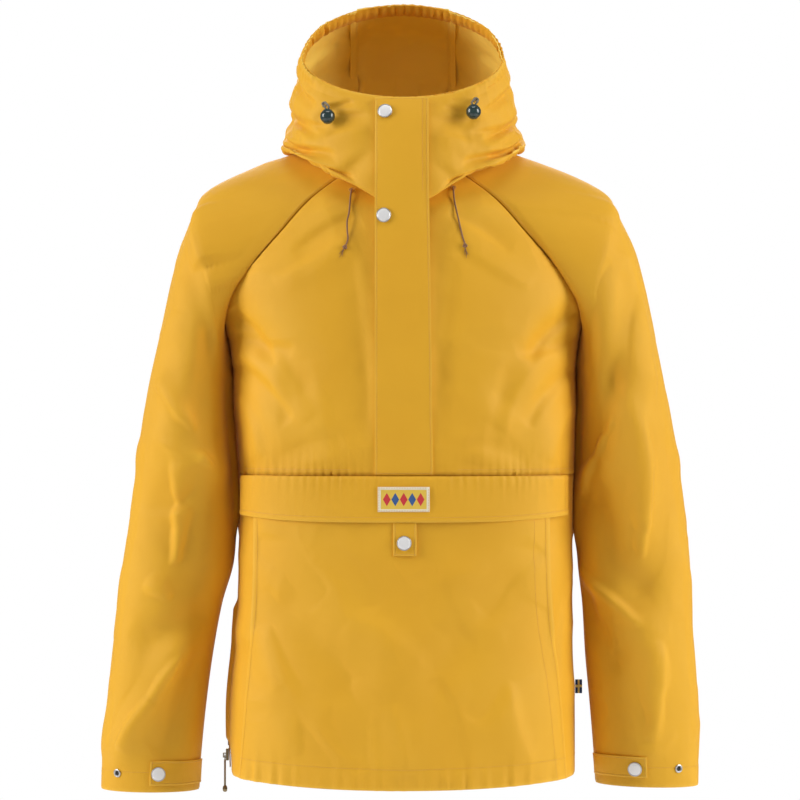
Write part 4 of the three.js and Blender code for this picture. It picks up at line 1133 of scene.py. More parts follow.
def box_grid(left, right, columns, low, high, rows):
    return np.meshgrid(np.linspace(left, right, columns), np.linspace(low, high, rows))


# How far in from its edge each piece is stitched
INSET = {
    "chest": 7, "hem": 24, "pocket_hem": 25, "pocket": 6, "pocket_second": 22, "band": 6, "tab": 2.2,
    "flap": 2.5, "flap_top": 3, "flap_second": 7.5, "sleeve": 5, "cuff": 24, "hood": 5, "hood_centre": 4,
}

# Body panels stop this short of their side seams, as a share of their half width
EDGE_STEP = 0.0006
# Above the underarm their seam allowances reach this far under the sleeves
ALLOWANCE = 6


def allowance(z):
    return ALLOWANCE * smooth(UNDERARM + 4, UNDERARM + 30, z)


def past_seam(at, z):
    """The allowance as a share of the panel's half width at each height."""
    step = 0.02
    run = np.linalg.norm(at(1 + step, z) - at(1, z), axis=-1) / step
    return np.minimum(allowance(z) / run, PAST_SEAM - 1.002)


def tucked(from_seam):
    """The allowance past a seam lies one cloth deeper."""
    return -2.3 * (1 - smooth(-1.4, 0.2, from_seam))


def add_chest(name, side):
    heights = np.linspace(CHEST_SEAM + 0.2, NECK["front_seam"] - 0.3, 130)

    def limits(z):
        outer, inner = 1 - EDGE_STEP + past_seam(front, z), 0.002 + 0 * z
        return (-outer, -inner) if side < 0 else (inner, outer)

    us, vs = grid(limits, heights, 84)

    def relief(p, u, v, away):
        raglan = (away["first"] if side < 0 else away["last"]) - allowance(v)
        height = front_relief(p[..., 0], p[..., 2]) * smooth(0, 22, raglan)
        height = height + topstitch(away["low"], INSET["chest"], p[..., 0], 31, 0.3)
        gathers = fading(np.abs(raglan), 12) * smooth(0, 3, raglan)
        height = height + 0.7 * puckers(p[..., 2], 33 + side, 13) * gathers
        return height + roll_in(raglan) + tucked(raglan) + roll_in(away["low"]) + roll_in(away["high"])

    panel(f"{name}_cloth", name, front, us, vs, 1, relief, ["low"])


# The front's edge stands out over the closed zip
ZIP_LIP = {"low": -690, "top": -512, "lift": 4.6}
# The front lies flat behind the pocket and is shaped beside it
BESIDE_POCKET = (150, 180)


def add_front_lower():
    heights = np.linspace(HEM, CHEST_SEAM - 0.2, 130)
    us, vs = grid(lambda z: (-1 + EDGE_STEP + 0 * z, 1 - EDGE_STEP + 0 * z), heights, 150)

    def relief(p, u, v, away):
        x, z = p[..., 0], p[..., 2]
        open_cloth = smooth(*BESIDE_POCKET, np.abs(x))
        side = nearest(away, "first", "last")
        height = (front_relief(x, z) * open_cloth - 1.2 * (1 - open_cloth)) * smooth(0, 18, side)
        hem = bell(away["low"], 24)
        height = height + 1.6 * puckers(x, 41, 17) * hem * smooth(0, 10, side) * open_cloth
        over_zip = smooth(ZIP_LIP["low"], ZIP_LIP["low"] + 12, z) * (1 - smooth(-16, 0, z - ZIP_LIP["top"]))
        lip = ZIP_LIP["lift"] * (1 - smooth(7, 15, away["first"])) * over_zip
        height = height + lip + roll_in(away["low"], 0.8, 1.2) + roll_in(away["high"])
        return height + roll_in(away["last"]) + roll_in(away["first"]) * (1 - over_zip)

    panel("front_lower_cloth", "front_lower", front, us, vs, 1, relief, ["low"])


# The back's sides swell towards the sleeves
SIDE_PUFF = {"low": -440, "top": -192, "from_seam": 24, "wide": 12, "out": 6.5}


def add_back():
    heights = np.linspace(HEM, NECK["back_seam"] - 0.3, 235)
    reach = lambda z: 1 - EDGE_STEP + past_seam(back, z)
    us, vs = grid(lambda z: (-reach(z), reach(z)), heights, 150)

    def relief(p, u, v, away):
        x, z = p[..., 0], p[..., 2]
        side = nearest(away, "first", "last") - allowance(v)
        height = (1.5 * crease_height(BACK_CREASES, x, z) + crumple(x, z, 51)) * smooth(0, 22, side)
        height = height + 1.3 * puckers(x, 53, 17) * bell(away["low"], 26) * smooth(0, 10, side)
        height = height - 0.5 * bell(away["low"] - INSET["hem"], 1)
        height = height + 0.8 * puckers(x, 55, 15) * fading(away["high"], 14)
        puff = SIDE_PUFF
        full = smooth(puff["low"] - 20, puff["low"] + 20, z) * (1 - smooth(puff["top"] - 25, puff["top"], z))
        height = height + puff["out"] * full * bell(side - puff["from_seam"], puff["wide"])
        return height + roll_in(side) + tucked(side) + roll_in(away["low"], 0.8, 1.2) + roll_in(away["high"])

    panel("back_cloth", "back", back, us, vs, -1, relief, ["low"])


SLEEVE_COLUMNS = 150
# Where a sleeve hangs against the body its cloth swells towards it, down to this height
ARM_PUFF = {
    "right": {"low": -425, "turn": 0.018, "wide": 0.035, "out": 6},
    "left": {"low": -445, "turn": 0.018, "wide": 0.035, "out": 4.4},
}
UNDERARM_PUFF = {"wide": 0.055, "out": 4.6}


def arm_puff(name, u, v, z):
    puff = ARM_PUFF[name]
    full = smooth(puff["low"] - 22, puff["low"] + 22, z) * smooth(0.5, 1.2, v)
    from_body = np.mod(u - puff["turn"] + 0.5, 1) - 0.5
    return puff["out"] * full * bell(from_body, puff["wide"])


def underarm_puff(u, v):
    from_underarm = np.mod(u + 0.5, 1) - 0.5
    near = smooth(0.1, 0.6, v) * (1 - smooth(1.3, 2.1, v))
    return UNDERARM_PUFF["out"] * near * bell(from_underarm, UNDERARM_PUFF["wide"])


def add_sleeve(name):
    side = SIDE[name]
    rows = np.concatenate([np.linspace(0.012, 1, 50)[:-1], np.linspace(1, CUFF_ROW, 170)])
    us, vs = np.meshgrid(np.arange(SLEEVE_COLUMNS) / SLEEVE_COLUMNS, rows)
    seed, unlike = (61, 0) if side < 0 else (71, 12)

    def relief(p, u, v, away):
        along, z = SLEEVE_ROUND * (u - 0.5), p[..., 2]
        inside = smooth(0.01, 0.05, u) * (1 - smooth(0.95, 0.99, u))
        shared = crease_height(SLEEVE_CREASES, along - 0.5 * unlike, z + unlike)
        height = 0.7 * shared * smooth(0.5, 1.5, v)
        height = height + 1.65 * crease_height(OWN_CREASES[name], along, z)
        height = height + crumple(along, z, seed, 1.2)
        height = height * inside * smooth(0, 22, away["low"]) * (0.35 + 0.65 * smooth(18, 60, away["high"]))
        ripple = fading(away["low"], 12) * smooth(0, 3, away["low"])
        height = height + 0.6 * puckers(SLEEVE_ROUND * u, seed + 3, 13) * ripple * inside
        height = np.maximum(height + arm_puff(name, u, v, z), underarm_puff(u, v))
        cuff = topstitch(away["high"], INSET["cuff"], along, seed + 7, 0.4 * inside)
        return height + 0.6 * cuff + roll_in(away["low"]) + roll_in(away["high"], 0.6, 1)

    panel(
        f"sleeve_{name}_cloth", f"sleeve_{name}", SLEEVES[name], us, vs, -side, relief, ["high"], wrap=True,
    )


# The hood: its centre strip reaches under its sides by this angle, about 130 mm a radian
FELL_ANGLE = 0.075
FELL_MM = FELL_ANGLE * 130
# Its seam allowance hangs inside the neckline, on the rows below 0
HOOD_SEAM = {"deep": 8, "in": 3.6}
HOOD_ROWS = np.concatenate([[-1, -0.6, -0.25], np.linspace(0.02, HOOD_TOP, 100)])
SEAM_ROW = 3
HOOD_SEAM_SHARE = 0.03


def strip_angle(row):
    wide = np.maximum(hood(pi / 2, row)[..., 0], HOOD_STRIP_HALF + 1)
    return pi - np.arcsin(HOOD_STRIP_HALF / wide)


def hood_with_seam(angle, row):
    place = hood(angle, np.maximum(row, 0))
    below = np.clip(-np.asarray(row, float), 0, 1)
    out = place * (1, 1, 0)
    out = out / np.linalg.norm(out, axis=-1)[..., None]
    inward = HOOD_SEAM["in"] * smooth(0, 0.25, below)
    return place - out * inward[..., None] - (HOOD_SEAM["deep"] * below)[..., None] * np.array((0, 0, 1))


def from_neck(away):
    """Distance from the neck seam: below 0 on the allowance."""
    return away["low"] - away["low"][SEAM_ROW]


def hood_relief(p, u, v, away, seed):
    above = from_neck(away)
    degrees = np.abs(np.degrees(np.where(u > pi, u - 2 * pi, u)))
    x, z = degrees * HOOD_PER_DEGREE, v * HOOD_PER_ROW
    unlike = np.where(p[..., 0] > 0, 14, 0)
    height = 1.4 * crease_height(HOOD_CREASES, x + unlike * 0.7, z + unlike * 0.5)
    puffy = smooth(36, 62, degrees) * (1 - smooth(150, 175, degrees)) * smooth(0.3, 0.9, v)
    height = height + 2.4 * puffy * soft_noise(x * 0.5, z + unlike, 17, seed + 9)
    height = height + crumple(p[..., 0] + 2 * p[..., 1], p[..., 2], seed, 1.3)
    height = height * smooth(10, 26, degrees) * smooth(0, 12, above)
    gathers = puckers(degrees * 2.1, seed + 3, 11) * fading(away["high"], 16)
    height = height + 0.9 * gathers * smooth(24, 60, degrees)
    neck = puckers(degrees * 1.6 + unlike, seed + 5, 15) * fading(np.abs(above), 15) * smooth(-3, 0, above)
    rounded = smooth(22, 44, degrees) * (1 - smooth(100, 140, degrees))
    roll = rounded * (4.5 * bell(v - 0.85, 0.42) - 2.5 * bell(v, 0.3))
    pleats = 1.5 * puckers(degrees * 1.9 + unlike, seed + 11, 16) * rounded * bell(v - 0.8, 0.4)
    return height + roll + pleats + 1.2 * neck * smooth(16, 30, degrees) + roll_in(away["high"], 1.6, 2)


CASING_WIDE = 13


def casing(from_edge, along, seed):
    """The tunnel of the hood's cord: a low swelling with a stitched dent behind it."""
    swell = 0.9 * bell(from_edge - 0.5 * CASING_WIDE, 0.35 * CASING_WIDE)
    dent = -0.9 * bell(from_edge - CASING_WIDE, 1.1)
    return swell + dent + 0.8 * puckers(along, seed, 9) * bell(from_edge - CASING_WIDE, 7)


def add_hood_side(name, side):
    us, vs = grid(lambda row: (0.004 + 0 * row, strip_angle(row) - 0.001), HOOD_ROWS, 116)

    def relief(p, u, v, away):
        seam = away["last"]
        height = hood_relief(p, u, v, away, 81 if side < 0 else 87)
        height = height + topstitch(seam, INSET["hood"], p[..., 2], 83, 0.3)
        height = height + roll_in(seam) + roll_in(from_neck(away))
        behind = smooth(75, 110, np.degrees(np.abs(u)))
        return height + mix(0.35, 1, behind) * casing(away["high"], p[..., 0] + p[..., 1], 85)

    panel(
        f"{name}_cloth", name, hood_with_seam, us * side, vs, side, relief, ["high"], inside=HOOD_INSIDE_PAINTED_LIGHT,
    )


def add_hood_centre():
    start = lambda row: strip_angle(row) + 0.001 - FELL_ANGLE
    us, vs = grid(lambda row: (start(row), 2 * pi - start(row)), HOOD_ROWS, 60)

    def relief(p, u, v, away):
        seam = nearest(away, "first", "last") - FELL_MM
        height = hood_relief(p, u, v, away, 91) * smooth(0, 14, seam)
        height = height + topstitch(seam, INSET["hood_centre"], p[..., 2], 93, 0.3)
        height = height + casing(away["high"], p[..., 0], 97)
        return height * smooth(-1, 1, seam) + roll_in(seam) + tucked(seam) + roll_in(from_neck(away))

    panel(
        "hood_centre_cloth", "hood_centre", hood_with_seam, us, vs, 1, relief, ["high"], inside=HOOD_INSIDE_PAINTED_LIGHT,
    )


# The gathered facing of the face opening: its first row on the hood, and how many columns it has
EDGE_FROM = 4.62
EDGE_COLUMNS = 300


def add_hood_edge():
    rows = np.linspace(EDGE_FROM, HOOD_TOP, 14)
    us, vs = np.meshgrid(np.arange(EDGE_COLUMNS) * 2 * pi / EDGE_COLUMNS, rows)

    def relief(p, u, v, away):
        swell = np.sin(pi * (v - EDGE_FROM) / (HOOD_TOP - EDGE_FROM))
        gathers = puckers(np.degrees(u) * 2.1, 95, 10)
        return -1.4 - 2.4 * swell * (1 + 0.5 * gathers) - 0.8 * gathers

    panel(
        "hood_edge_cloth", "hood_edge", hood, us, vs, 1, relief,
        slot_name="hood_edge_cloth", wrap=True, finish=EDGE_CLOTH,
    )


# The storm flap's second stitching dents it along this line
FLAP_LINE_X = 25


def add_storm_flap():
    heights = np.linspace(FLAP["z"][0], FLAP["z"][-1], 160)
    us, vs = grid(lambda z: (-1 + 0 * z, 1 + 0 * z), heights, 26)

    def relief(p, u, v, away):
        x, z = p[..., 0], p[..., 2]
        edge = nearest(away, "first", "last")
        height = 0.5 * soft_noise(x, z, 46, 101) + 0.3 * crumple(x, z, 103, 0.8)
        height = height + topstitch(edge, INSET["flap"], z, 105, 0.12)
        height = height - 0.5 * bell(x - FLAP_LINE_X, 1.1) * smooth(-190, -150, z)
        height = height + 0.9 * soft_noise(z, z * 0, 70, 107) * fading(away["first"], 6)
        height = height + roll_in(edge, 0.9, 1.1)
        return height + roll_in(away["low"], 0.9, 1.1) + roll_in(away["high"], 1.2, 1.6)

    panel("storm_flap_cloth", "storm_flap", flap, us, vs, 1, relief, ["first", "last", "high"])


# Above this height the pocket's sides are open
OPENING_LOW = -545


def add_pocket():
    heights = np.linspace(POCKET["z"][0], POCKET["z"][-1], 130)
    limits = lambda z: (across_at(read(POCKET, "right", z), z), across_at(read(POCKET, "left", z), z))
    us, vs = grid(limits, heights, 130)

    def relief(p, u, v, away):
        x, z = p[..., 0], p[..., 2]
        side = nearest(away, "first", "last")
        height = 1.1 * crease_height(POCKET_CREASES, x, z) + crumple(x, z, 111, 1.1)
        height = height + 1.3 * puckers(x, 113, 16) * bell(away["low"], 26)
        height = np.maximum(height - 0.5 * bell(away["low"] - INSET["pocket_hem"], 1), -1.6)
        sewn = 1 - smooth(OPENING_LOW - 20, OPENING_LOW + 5, z)
        edge = 0.8 * fading(side, 5) * (1 - sewn) - 1.7 * bell(side, 3.5) * sewn
        return height * smooth(0, 12, side) + edge + topstitch(side, INSET["pocket"], z, 115, 0.2)

    panel(
        "pocket_cloth", "pocket_panel", front, us, vs, 1, relief, ["first", "last", "low"], lift=POCKET_LIFT,
    )


def band_bottom(x):
    return mix(FLAP_BAND["middle"], FLAP_BAND["ends"], (x / FLAP_BAND["left"]) ** 4)


def on_front(lift):
    return lambda x, z: outer_front(x, z, lift)[0]


def add_pocket_flap():
    down = np.linspace(0, 1, 28)[:, None]
    x = np.linspace(FLAP_BAND["right"], FLAP_BAND["left"], 190)[None, :] + 0 * down
    z = mix(band_bottom(x), FLAP_BAND["top"], down)

    def relief(p, u, v, away):
        edge = nearest(away, "first", "last")
        height = crumple(u, v, 121, 0.7) + 0.9 * puckers(u, 21) * fading(away["high"], 11)
        height = height + 0.9 * soft_noise(u, v * 0, 60, 123) * fading(away["low"], 10)
        height = height * smooth(0, 8, edge) + topstitch(away["low"], INSET["band"], u, 125, 0.15)
        return height - 1.2 * bell(edge, 4) + roll_in(away["low"], 0.8, 1.1) + roll_in(away["high"], 1.5, 1.8)

    panel("pocket_flap_cloth", "pocket_flap", on_front(FLAP_LIFT), x, z, 1, relief, ["low"])


def tab_relief(edge, across, up, seed):
    height = topstitch(edge, INSET["tab"], across, seed, 0.1)
    return height + up + roll_in(edge, 0.8, 1)


def add_pocket_tab():
    x, z = box_grid(TAB["right"], TAB["left"], 26, TAB["bottom"], FLAP_BAND["middle"] - SEAM_GAP, 34)

    def relief(p, u, v, away):
        return tab_relief(nearest(away, "first", "last", "low"), u + v, 0.25 * crumple(u, v, 133), 131)

    panel(
        "pocket_tab_cloth", "pocket_tab", on_front(POCKET_LIFT + LAYER), x, z, 1, relief,
        ["first", "last", "low"],
    )


CUFF_TABS = {
    "right": {"from": 0.02, "to": 0.245, "top": 10.1, "bottom": 10.79},
    "left": {"from": 0.03, "to": 0.243, "top": 10.16, "bottom": 10.73},
}


def add_cuff_tab(name):
    tab = CUFF_TABS[name]
    us, vs = box_grid(tab["from"], tab["to"], 70, tab["top"], tab["bottom"], 30)

    def relief(p, u, v, away):
        along = SLEEVE_ROUND * u
        uneven = 0.3 * crumple(along, p[..., 2], 143)
        return tab_relief(nearest(away, "low", "high", "last"), along, uneven, 141)

    panel(
        f"cuff_tab_{name}_cloth", f"cuff_tab_{name}", SLEEVES[name], us, vs, -SIDE[name], relief,
        ["last", "low", "high"], lift=LAYER + 0.5,
    )


def add_patch():
    x, z = box_grid(PATCH["right"], PATCH["left"], 70, PATCH["bottom"], PATCH["top"], 36)

    def relief(p, u, v, away):
        edge = nearest(away, "first", "last", "low", "high")
        border = 0.4 * (1 - smooth(2.6, 3.6, edge))
        return border + 0.25 * soft_noise(u, v, 17, 151) + roll_in(edge, 0.5, 0.7)

    panel(
        "patch_woven", "patch", on_front(PATCH_LIFT), x, z, 1, relief,
        slot_name="woven_patch", thick=0.9, finish=PATCH_CLOTH,
    )


# Woven label, folded in two and sewn into the side seam with both ends
LABEL = {"x": 206.6, "reach": 8.3, "half": 0.42, "top": -611.2, "height": 16.6}


def label_point(u, v):
    """u runs from one end over the fold (0) to the other, v up the label."""
    out = LABEL["reach"] * (1 - np.abs(u) ** 3)
    side = LABEL["half"] * np.sin(np.clip(np.abs(u) * pi * 2.2, 0, pi / 2)) * np.sign(u)
    curl = 0.5 * np.sin(pi * (v - LABEL["top"]) / LABEL["height"]) * (out / LABEL["reach"])
    return stack(LABEL["x"] + out, side + curl, v)


def add_side_label():
    us, vs = box_grid(-1, 1, 41, LABEL["top"] - LABEL["height"], LABEL["top"], 16)

    def relief(p, u, v, away):
        return 0.06 * soft_noise(p[..., 0], p[..., 2], 4, 161)

    panel(
        "flag_label", "side_label", label_point, us, vs, 1, relief,
        slot_name="woven_label", thick=0.3, finish=LABEL_CLOTH,
    )


# Side zip: a tape in the side seam, two rows of teeth, and the slider with its pull
ZIP = {"half": 6.5, "top": -520, "bottom": -716}
TAPE_LIFT = 1.5
TOOTH = {"pitch": 2.4, "high": 1.1, "wide": 2.2, "tall": 1.2, "from": -530, "to": -693}


def zip_x(z):
    return back(-1, z)[..., 0] - TAPE_LIFT


def add_zip_tape():
    us, vs = box_grid(-1, 1, 11, ZIP["bottom"], ZIP["top"], 80)
    at = lambda u, v: stack(zip_x(v), ZIP["half"] * -u, v)

    def relief(p, u, v, away):
        return 0.25 * bell(u, 0.22)

    panel(
        "zip_tape_woven", "side_zip", at, us, vs, 1, relief,
        slot_name="zip_tape", thick=0.8, finish=ZIP_TAPE,
    )


# Modelling by hand: start from a simple form, work on its faces, then set it in its place
def choose_nothing():
    bpy.ops.object.select_all(action="DESELECT")


def begun(name):
    piece = bpy.context.object
    piece.name = name
    piece.data.name = name
    bpy.ops.object.transform_apply(location=True, rotation=True, scale=True)
    return piece


def pick_faces(piece, test):
    """Go into edit mode with the faces chosen whose middle, in millimetres, passes a test."""
    bpy.ops.object.mode_set(mode="EDIT")
    bpy.ops.mesh.select_mode(type="FACE")
    bpy.ops.mesh.select_all(action="DESELECT")
    bpy.ops.object.mode_set(mode="OBJECT")
    for face in piece.data.polygons:
        face.select = test(face.center / MM)
    bpy.ops.object.mode_set(mode="EDIT")


def inset_steps(steps):
    for wide, deep in steps:
        bpy.ops.mesh.inset(thickness=wide * MM, depth=deep * MM)


def soften(piece, width, segments=2):
    bevel = piece.modifiers.new("soft_edges", "BEVEL")
    bevel.width = width * MM
    bevel.segments = segments
    bevel.limit_method = "ANGLE"
    bevel.angle_limit = radians(30)
    bpy.ops.object.modifier_apply(modifier="soft_edges")
    bpy.ops.object.shade_smooth_by_angle(angle=radians(40))


def set_down(piece, place, out):
    """Turn a piece's own up direction to "out" and move it to its place."""
    piece.rotation_euler = Vector(out).to_track_quat("Z", "Y").to_euler()
    piece.location = Vector(place) * MM
    bpy.ops.object.transform_apply(location=True, rotation=True, scale=True)


def stepped_disc(name, radius, high, steps, place, finishes, change_at=3, edge=0.25):
    """A turned metal part: a disc whose top is worked in rings, the inner ones of a second finish: a brighter
    metal on stud caps, painted shade at the bottom of the holes in sockets and eyelets.
    """
    choose_nothing()
    bpy.ops.mesh.primitive_cylinder_add(
        vertices=64, radius=radius * MM, depth=high * MM, location=(0, 0, high * MM / 2),
    )
    piece = begun(name)
    for finish in finishes:
        piece.data.materials.append(finish)
    pick_faces(piece, lambda middle: middle.z > high - 0.01)
    inset_steps(steps[:change_at])
    piece.active_material_index = 1
    bpy.ops.object.material_slot_assign()
    inset_steps(steps[change_at:])
    bpy.ops.object.mode_set(mode="OBJECT")
    soften(piece, edge)
    set_down(piece, *place)
    return piece


CAP_STEPS = [(0.8, 0.15), (0.45, -0.4), (0.4, 0.36), (1.6, 0.22), (2.4, 0.16), (1.6, 0.04)]
SOCKET_STEPS = [(1.0, 0.25), (0.8, 0.0), (0.3, -0.9)]
EYELET_STEPS = [(0.7, 0.3), (0.6, 0.0), (0.5, -0.5)]
STUDS = {"stud_hood": (-21, 61), "stud_chest": (-22.5, -61)}
POCKET_STUD = (1.2, -442)
CUFF_STUDS = {
    "right": {"cap": 0.2185, "socket": 0.357, "row": 10.45},
    "left": {"cap": 0.208, "socket": 0.345, "row": 10.49},
}


def on_flap(x, z, lift):
    right, left = read(FLAP, "right", z), read(FLAP, "left", z)
    across = 2 * (x - right) / (left - right) - 1
    n = outward(flap, across, z, 1)
    return flap(across, z) + n * lift, n


def on_sleeve(name, turn, row, lift):
    turn, row = np.float64(turn), np.float64(row)
    n = outward(SLEEVES[name], turn, row, -SIDE[name])
    return SLEEVES[name](turn, row) + n * lift, n


def add_cap(name, place):
    piece = stepped_disc(f"{name}_cap", 8.5, 1.5, CAP_STEPS, place, [SOCKET_METAL, STUD_METAL], change_at=2)
    settle(piece, "press_stud_metal", name)


def add_socket(name, place):
    piece = stepped_disc(f"{name}_ring", 5.0, 1.0, SOCKET_STEPS, place, [SOCKET_METAL, PAINTED_HOLE_SHADE])
    settle(piece, "press_stud_metal", name)


def add_studs():
    for name, (x, z) in STUDS.items():
        add_cap(name, on_flap(np.float64(x), np.float64(z), 0.8))
    add_cap("stud_pocket", outer_front(*POCKET_STUD, POCKET_LIFT + LAYER + 0.8))
    for name, stud in CUFF_STUDS.items():
        add_cap(f"stud_cuff_{name}", on_sleeve(name, stud["cap"], stud["row"], LAYER + 1.2))
        add_socket(f"socket_cuff_{name}", on_sleeve(name, stud["socket"], stud["row"], 0.5))


# Hood cord: an eyelet, a ball lock, and a loop of elastic cord between them
BALL_RADIUS = 8.8
HOOD_CORD = {
    "right": {"eye": (-92, 72), "ball": (-83.5, 55)},
    "left": {"eye": (85, 76), "ball": (78, 60)},
}
LOOP_RADIUS = 1.2


def on_hood(x, z, lift):
    angle, row = np.float64(np.sign(x) * 0.7), np.float64(4)
    for _ in range(40):
        point = hood(angle, row)
        angle = angle + (x - point[0]) / 200
        row = row + (z - point[2]) / 80
    n = outward(hood, angle, row, 1)
    return hood(angle, row) + n * lift, n


def unit(direction):
    return direction / np.linalg.norm(direction)


def add_ball(name, seat, up):
    """Ball lock: a moulded ball with a waist, a hole for the cord and a push end below."""
    choose_nothing()
    bpy.ops.mesh.primitive_uv_sphere_add(segments=40, ring_count=24, radius=BALL_RADIUS * MM)
    piece = begun(f"cord_lock_{name}_ball")
    piece.data.materials.append(LOCK_PLASTIC)
    pick_faces(piece, lambda middle: abs(middle.z - 2.2) < 0.6)
    bpy.ops.mesh.inset(thickness=0.15 * MM, depth=-0.45 * MM)
    bpy.ops.object.mode_set(mode="OBJECT")
    pick_faces(piece, lambda middle: middle.z > 7.2)
    inset_steps([(0.3, 0.25), (0.35, 0.0), (0.3, -1.6)])
    bpy.ops.object.mode_set(mode="OBJECT")
    pick_faces(piece, lambda middle: middle.z < -6.9)
    inset_steps([(0.3, -0.3), (0.5, 0.0), (0.3, 0.7)])
    bpy.ops.object.mode_set(mode="OBJECT")
    bpy.ops.object.shade_smooth_by_angle(angle=radians(50))
    set_down(piece, seat, up)
    settle(piece, "cord_lock_plastic", f"cord_lock_{name}")


def add_hood_cord(name):
    cord = HOOD_CORD[name]
    eye, out = on_hood(*cord["eye"], 0.5)
    metal_and_hole_shade = [EYELET_METAL, PAINTED_HOLE_SHADE]
    ring = stepped_disc(f"hood_eyelet_{name}_ring", 4.0, 0.5, EYELET_STEPS, (eye, out), metal_and_hole_shade)
    settle(ring, "eyelet_metal", f"hood_eyelet_{name}")
    seat, _ = on_hood(*cord["ball"], BALL_RADIUS + 1.0)
    up = unit(mix(np.array([0, 0, 1.0]), unit(eye - seat), 0.3))
    add_ball(name, seat, up)
    sideways = unit(np.cross(up, out))
    top = seat + up * (BALL_RADIUS - 1)
    crown = mix(top, eye, 0.5) + out * 3.8 + up * 3.2
    route = [
        top - sideways * 1.5, top - sideways * 2.6 + up * 3.5, crown - sideways * 2.2, crown + up * 1.6,
        crown + sideways * 2.4, top + sideways * 3 + up * 3.8 + out * 1.2, top + sideways * 1.5,
    ]
    loop = cord_curve(f"hood_loop_{name}", through(route, 8), LOOP_RADIUS)
    loop.data.materials.append(HOOD_CORD_BRAID)
    settle(loop, "hood_cord", f"cord_loop_{name}")
    route = [eye - out * 1.0, eye + out * 3.2, mix(eye, crown, 0.55) + out * 2.0, crown + up * 0.8]
    strand = cord_curve(f"hood_cord_strand_{name}", through(route, 6), LOOP_RADIUS)
    strand.data.materials.append(HOOD_CORD_BRAID)
    settle(strand, "hood_cord")


# Knots with frayed ends on the neck drawcord, and the sewn eyelets it comes out of
KNOT_RADIUS = 1.15
# Each frayed strand: how far it spreads, how far it comes forward and how long it is
FRAY = [
    (-1.6, 0.6, 11.5), (-0.7, -0.9, 13.2), (0.3, 0.8, 14.4),
    (0.9, -0.5, 12.8), (1.7, 0.3, 11.0), (0.1, -0.2, 15.2),
]
EYELET_SEGMENTS = 66


def add_knot(name):
    end = neck_route(name)[-1]
    lean = unit(np.array(KNOT_LEAN[name], float))
    side = unit(np.cross(lean, (0, -1, 0)))
    front_way = np.cross(side, lean)
    seat = end + lean * 3.2 + np.array([0, -1.6, 0])
    data = bpy.data.curves.new(f"neck_knot_{name}_tied", "CURVE")
    data.dimensions = "3D"
    data.bevel_depth = CORD_RADIUS * MM
    data.bevel_resolution = 3
    data.use_fill_caps = True

    def spline(points, sizes, closed):
        made = data.splines.new("POLY")
        made.points.add(len(points) - 1)
        made.use_cyclic_u = closed
        for point, place, size in zip(made.points, points, sizes):
            point.co = (*(place * MM), 1)
            point.radius = size

    turns = np.linspace(0, 2 * pi, 48, endpoint=False)
    a = KNOT_RADIUS * (np.sin(turns) + 2 * np.sin(2 * turns)) * 0.62
    b = KNOT_RADIUS * (np.cos(turns) - 2 * np.cos(2 * turns)) * 0.62
    c = -KNOT_RADIUS * np.sin(3 * turns) * 0.7
    knot = seat + a[:, None] * side + b[:, None] * lean + c[:, None] * front_way
    spline(knot, np.full(48, 0.95), True)
    for spread, forward, reach in FRAY:
        t = np.linspace(0, 1, 9)[:, None]
        path = seat + lean * (1 + t * (reach - 1)) + side * (spread * t ** 1.6 * 1.5)
        path = path + front_way * (forward * t) + side * 0.5 * np.sin(5 * t + reach)
        spline(path, np.linspace(0.4, 0.16, 9), False)
    piece = bpy.data.objects.new(f"neck_knot_{name}_tied", data)
    scene.collection.objects.link(piece)
    piece.data.materials.append(NECK_CORD_BRAID)
    settle(piece, "neck_drawcord", f"neck_knot_{name}")


def add_neck_eyelet(name):
    """Sewn eyelet: a ring of thread turns round a small hole."""
    place, out = outer_front(*NECK_CORD[name][0], REST + 0.5)
    choose_nothing()
    bpy.ops.mesh.primitive_torus_add(
        major_segments=EYELET_SEGMENTS, minor_segments=12, major_radius=3.1 * MM, minor_radius=0.8 * MM,
    )
    piece = begun(f"neck_eyelet_{name}_sewn")
    piece.data.materials.append(THREAD)
    segment = lambda middle: round(np.arctan2(middle.y, middle.x) / (2 * pi) * EYELET_SEGMENTS - 0.5)
    pick_faces(piece, lambda middle: segment(middle) % 3 == 0)
    bpy.ops.mesh.inset(thickness=0.04 * MM, depth=-0.16 * MM)
    bpy.ops.object.mode_set(mode="OBJECT")
    bpy.ops.object.shade_smooth_by_angle(angle=radians(60))
    set_down(piece, place, out)
    settle(piece, "eyelet_metal", f"neck_eyelet_{name}")


def add_teeth():
    """Two rows of interlocking teeth on the tape, each tooth a small bevelled block."""
    count = int((TOOTH["from"] - TOOTH["to"]) / TOOTH["pitch"])
    choose_nothing()
    made = []
    for side in (-1, 1):
        for i in range(count):
            z = TOOTH["from"] - (i + 0.25 * (1 + side)) * TOOTH["pitch"]
            place = Vector((float(zip_x(z)) - TOOTH["high"] / 2 - 0.2, side * 0.8, z)) * MM
            bpy.ops.mesh.primitive_cube_add(size=MM, location=place)
            bpy.context.object.scale = (TOOTH["high"], TOOTH["wide"], TOOTH["tall"])
            made.append(bpy.context.object)
    choose_nothing()
    for tooth in made:
        tooth.select_set(True)
    bpy.context.view_layer.objects.active = made[0]
    bpy.ops.object.join()
    piece = begun("zip_teeth")
    piece.data.materials.append(ZIP_METAL)
    soften(piece, 0.2, 1)
    settle(piece, "zip_metal")


# Sewing thread: each stitch is a short raised bead that dips into the cloth at both ends
STITCH = {"pitch": 3.0, "share": 0.74, "wide": 0.3, "high": 0.26, "lift": 0.1}
BEAD = [(0.12, 0.75), (0.5, 1.0), (0.88, 0.75)]


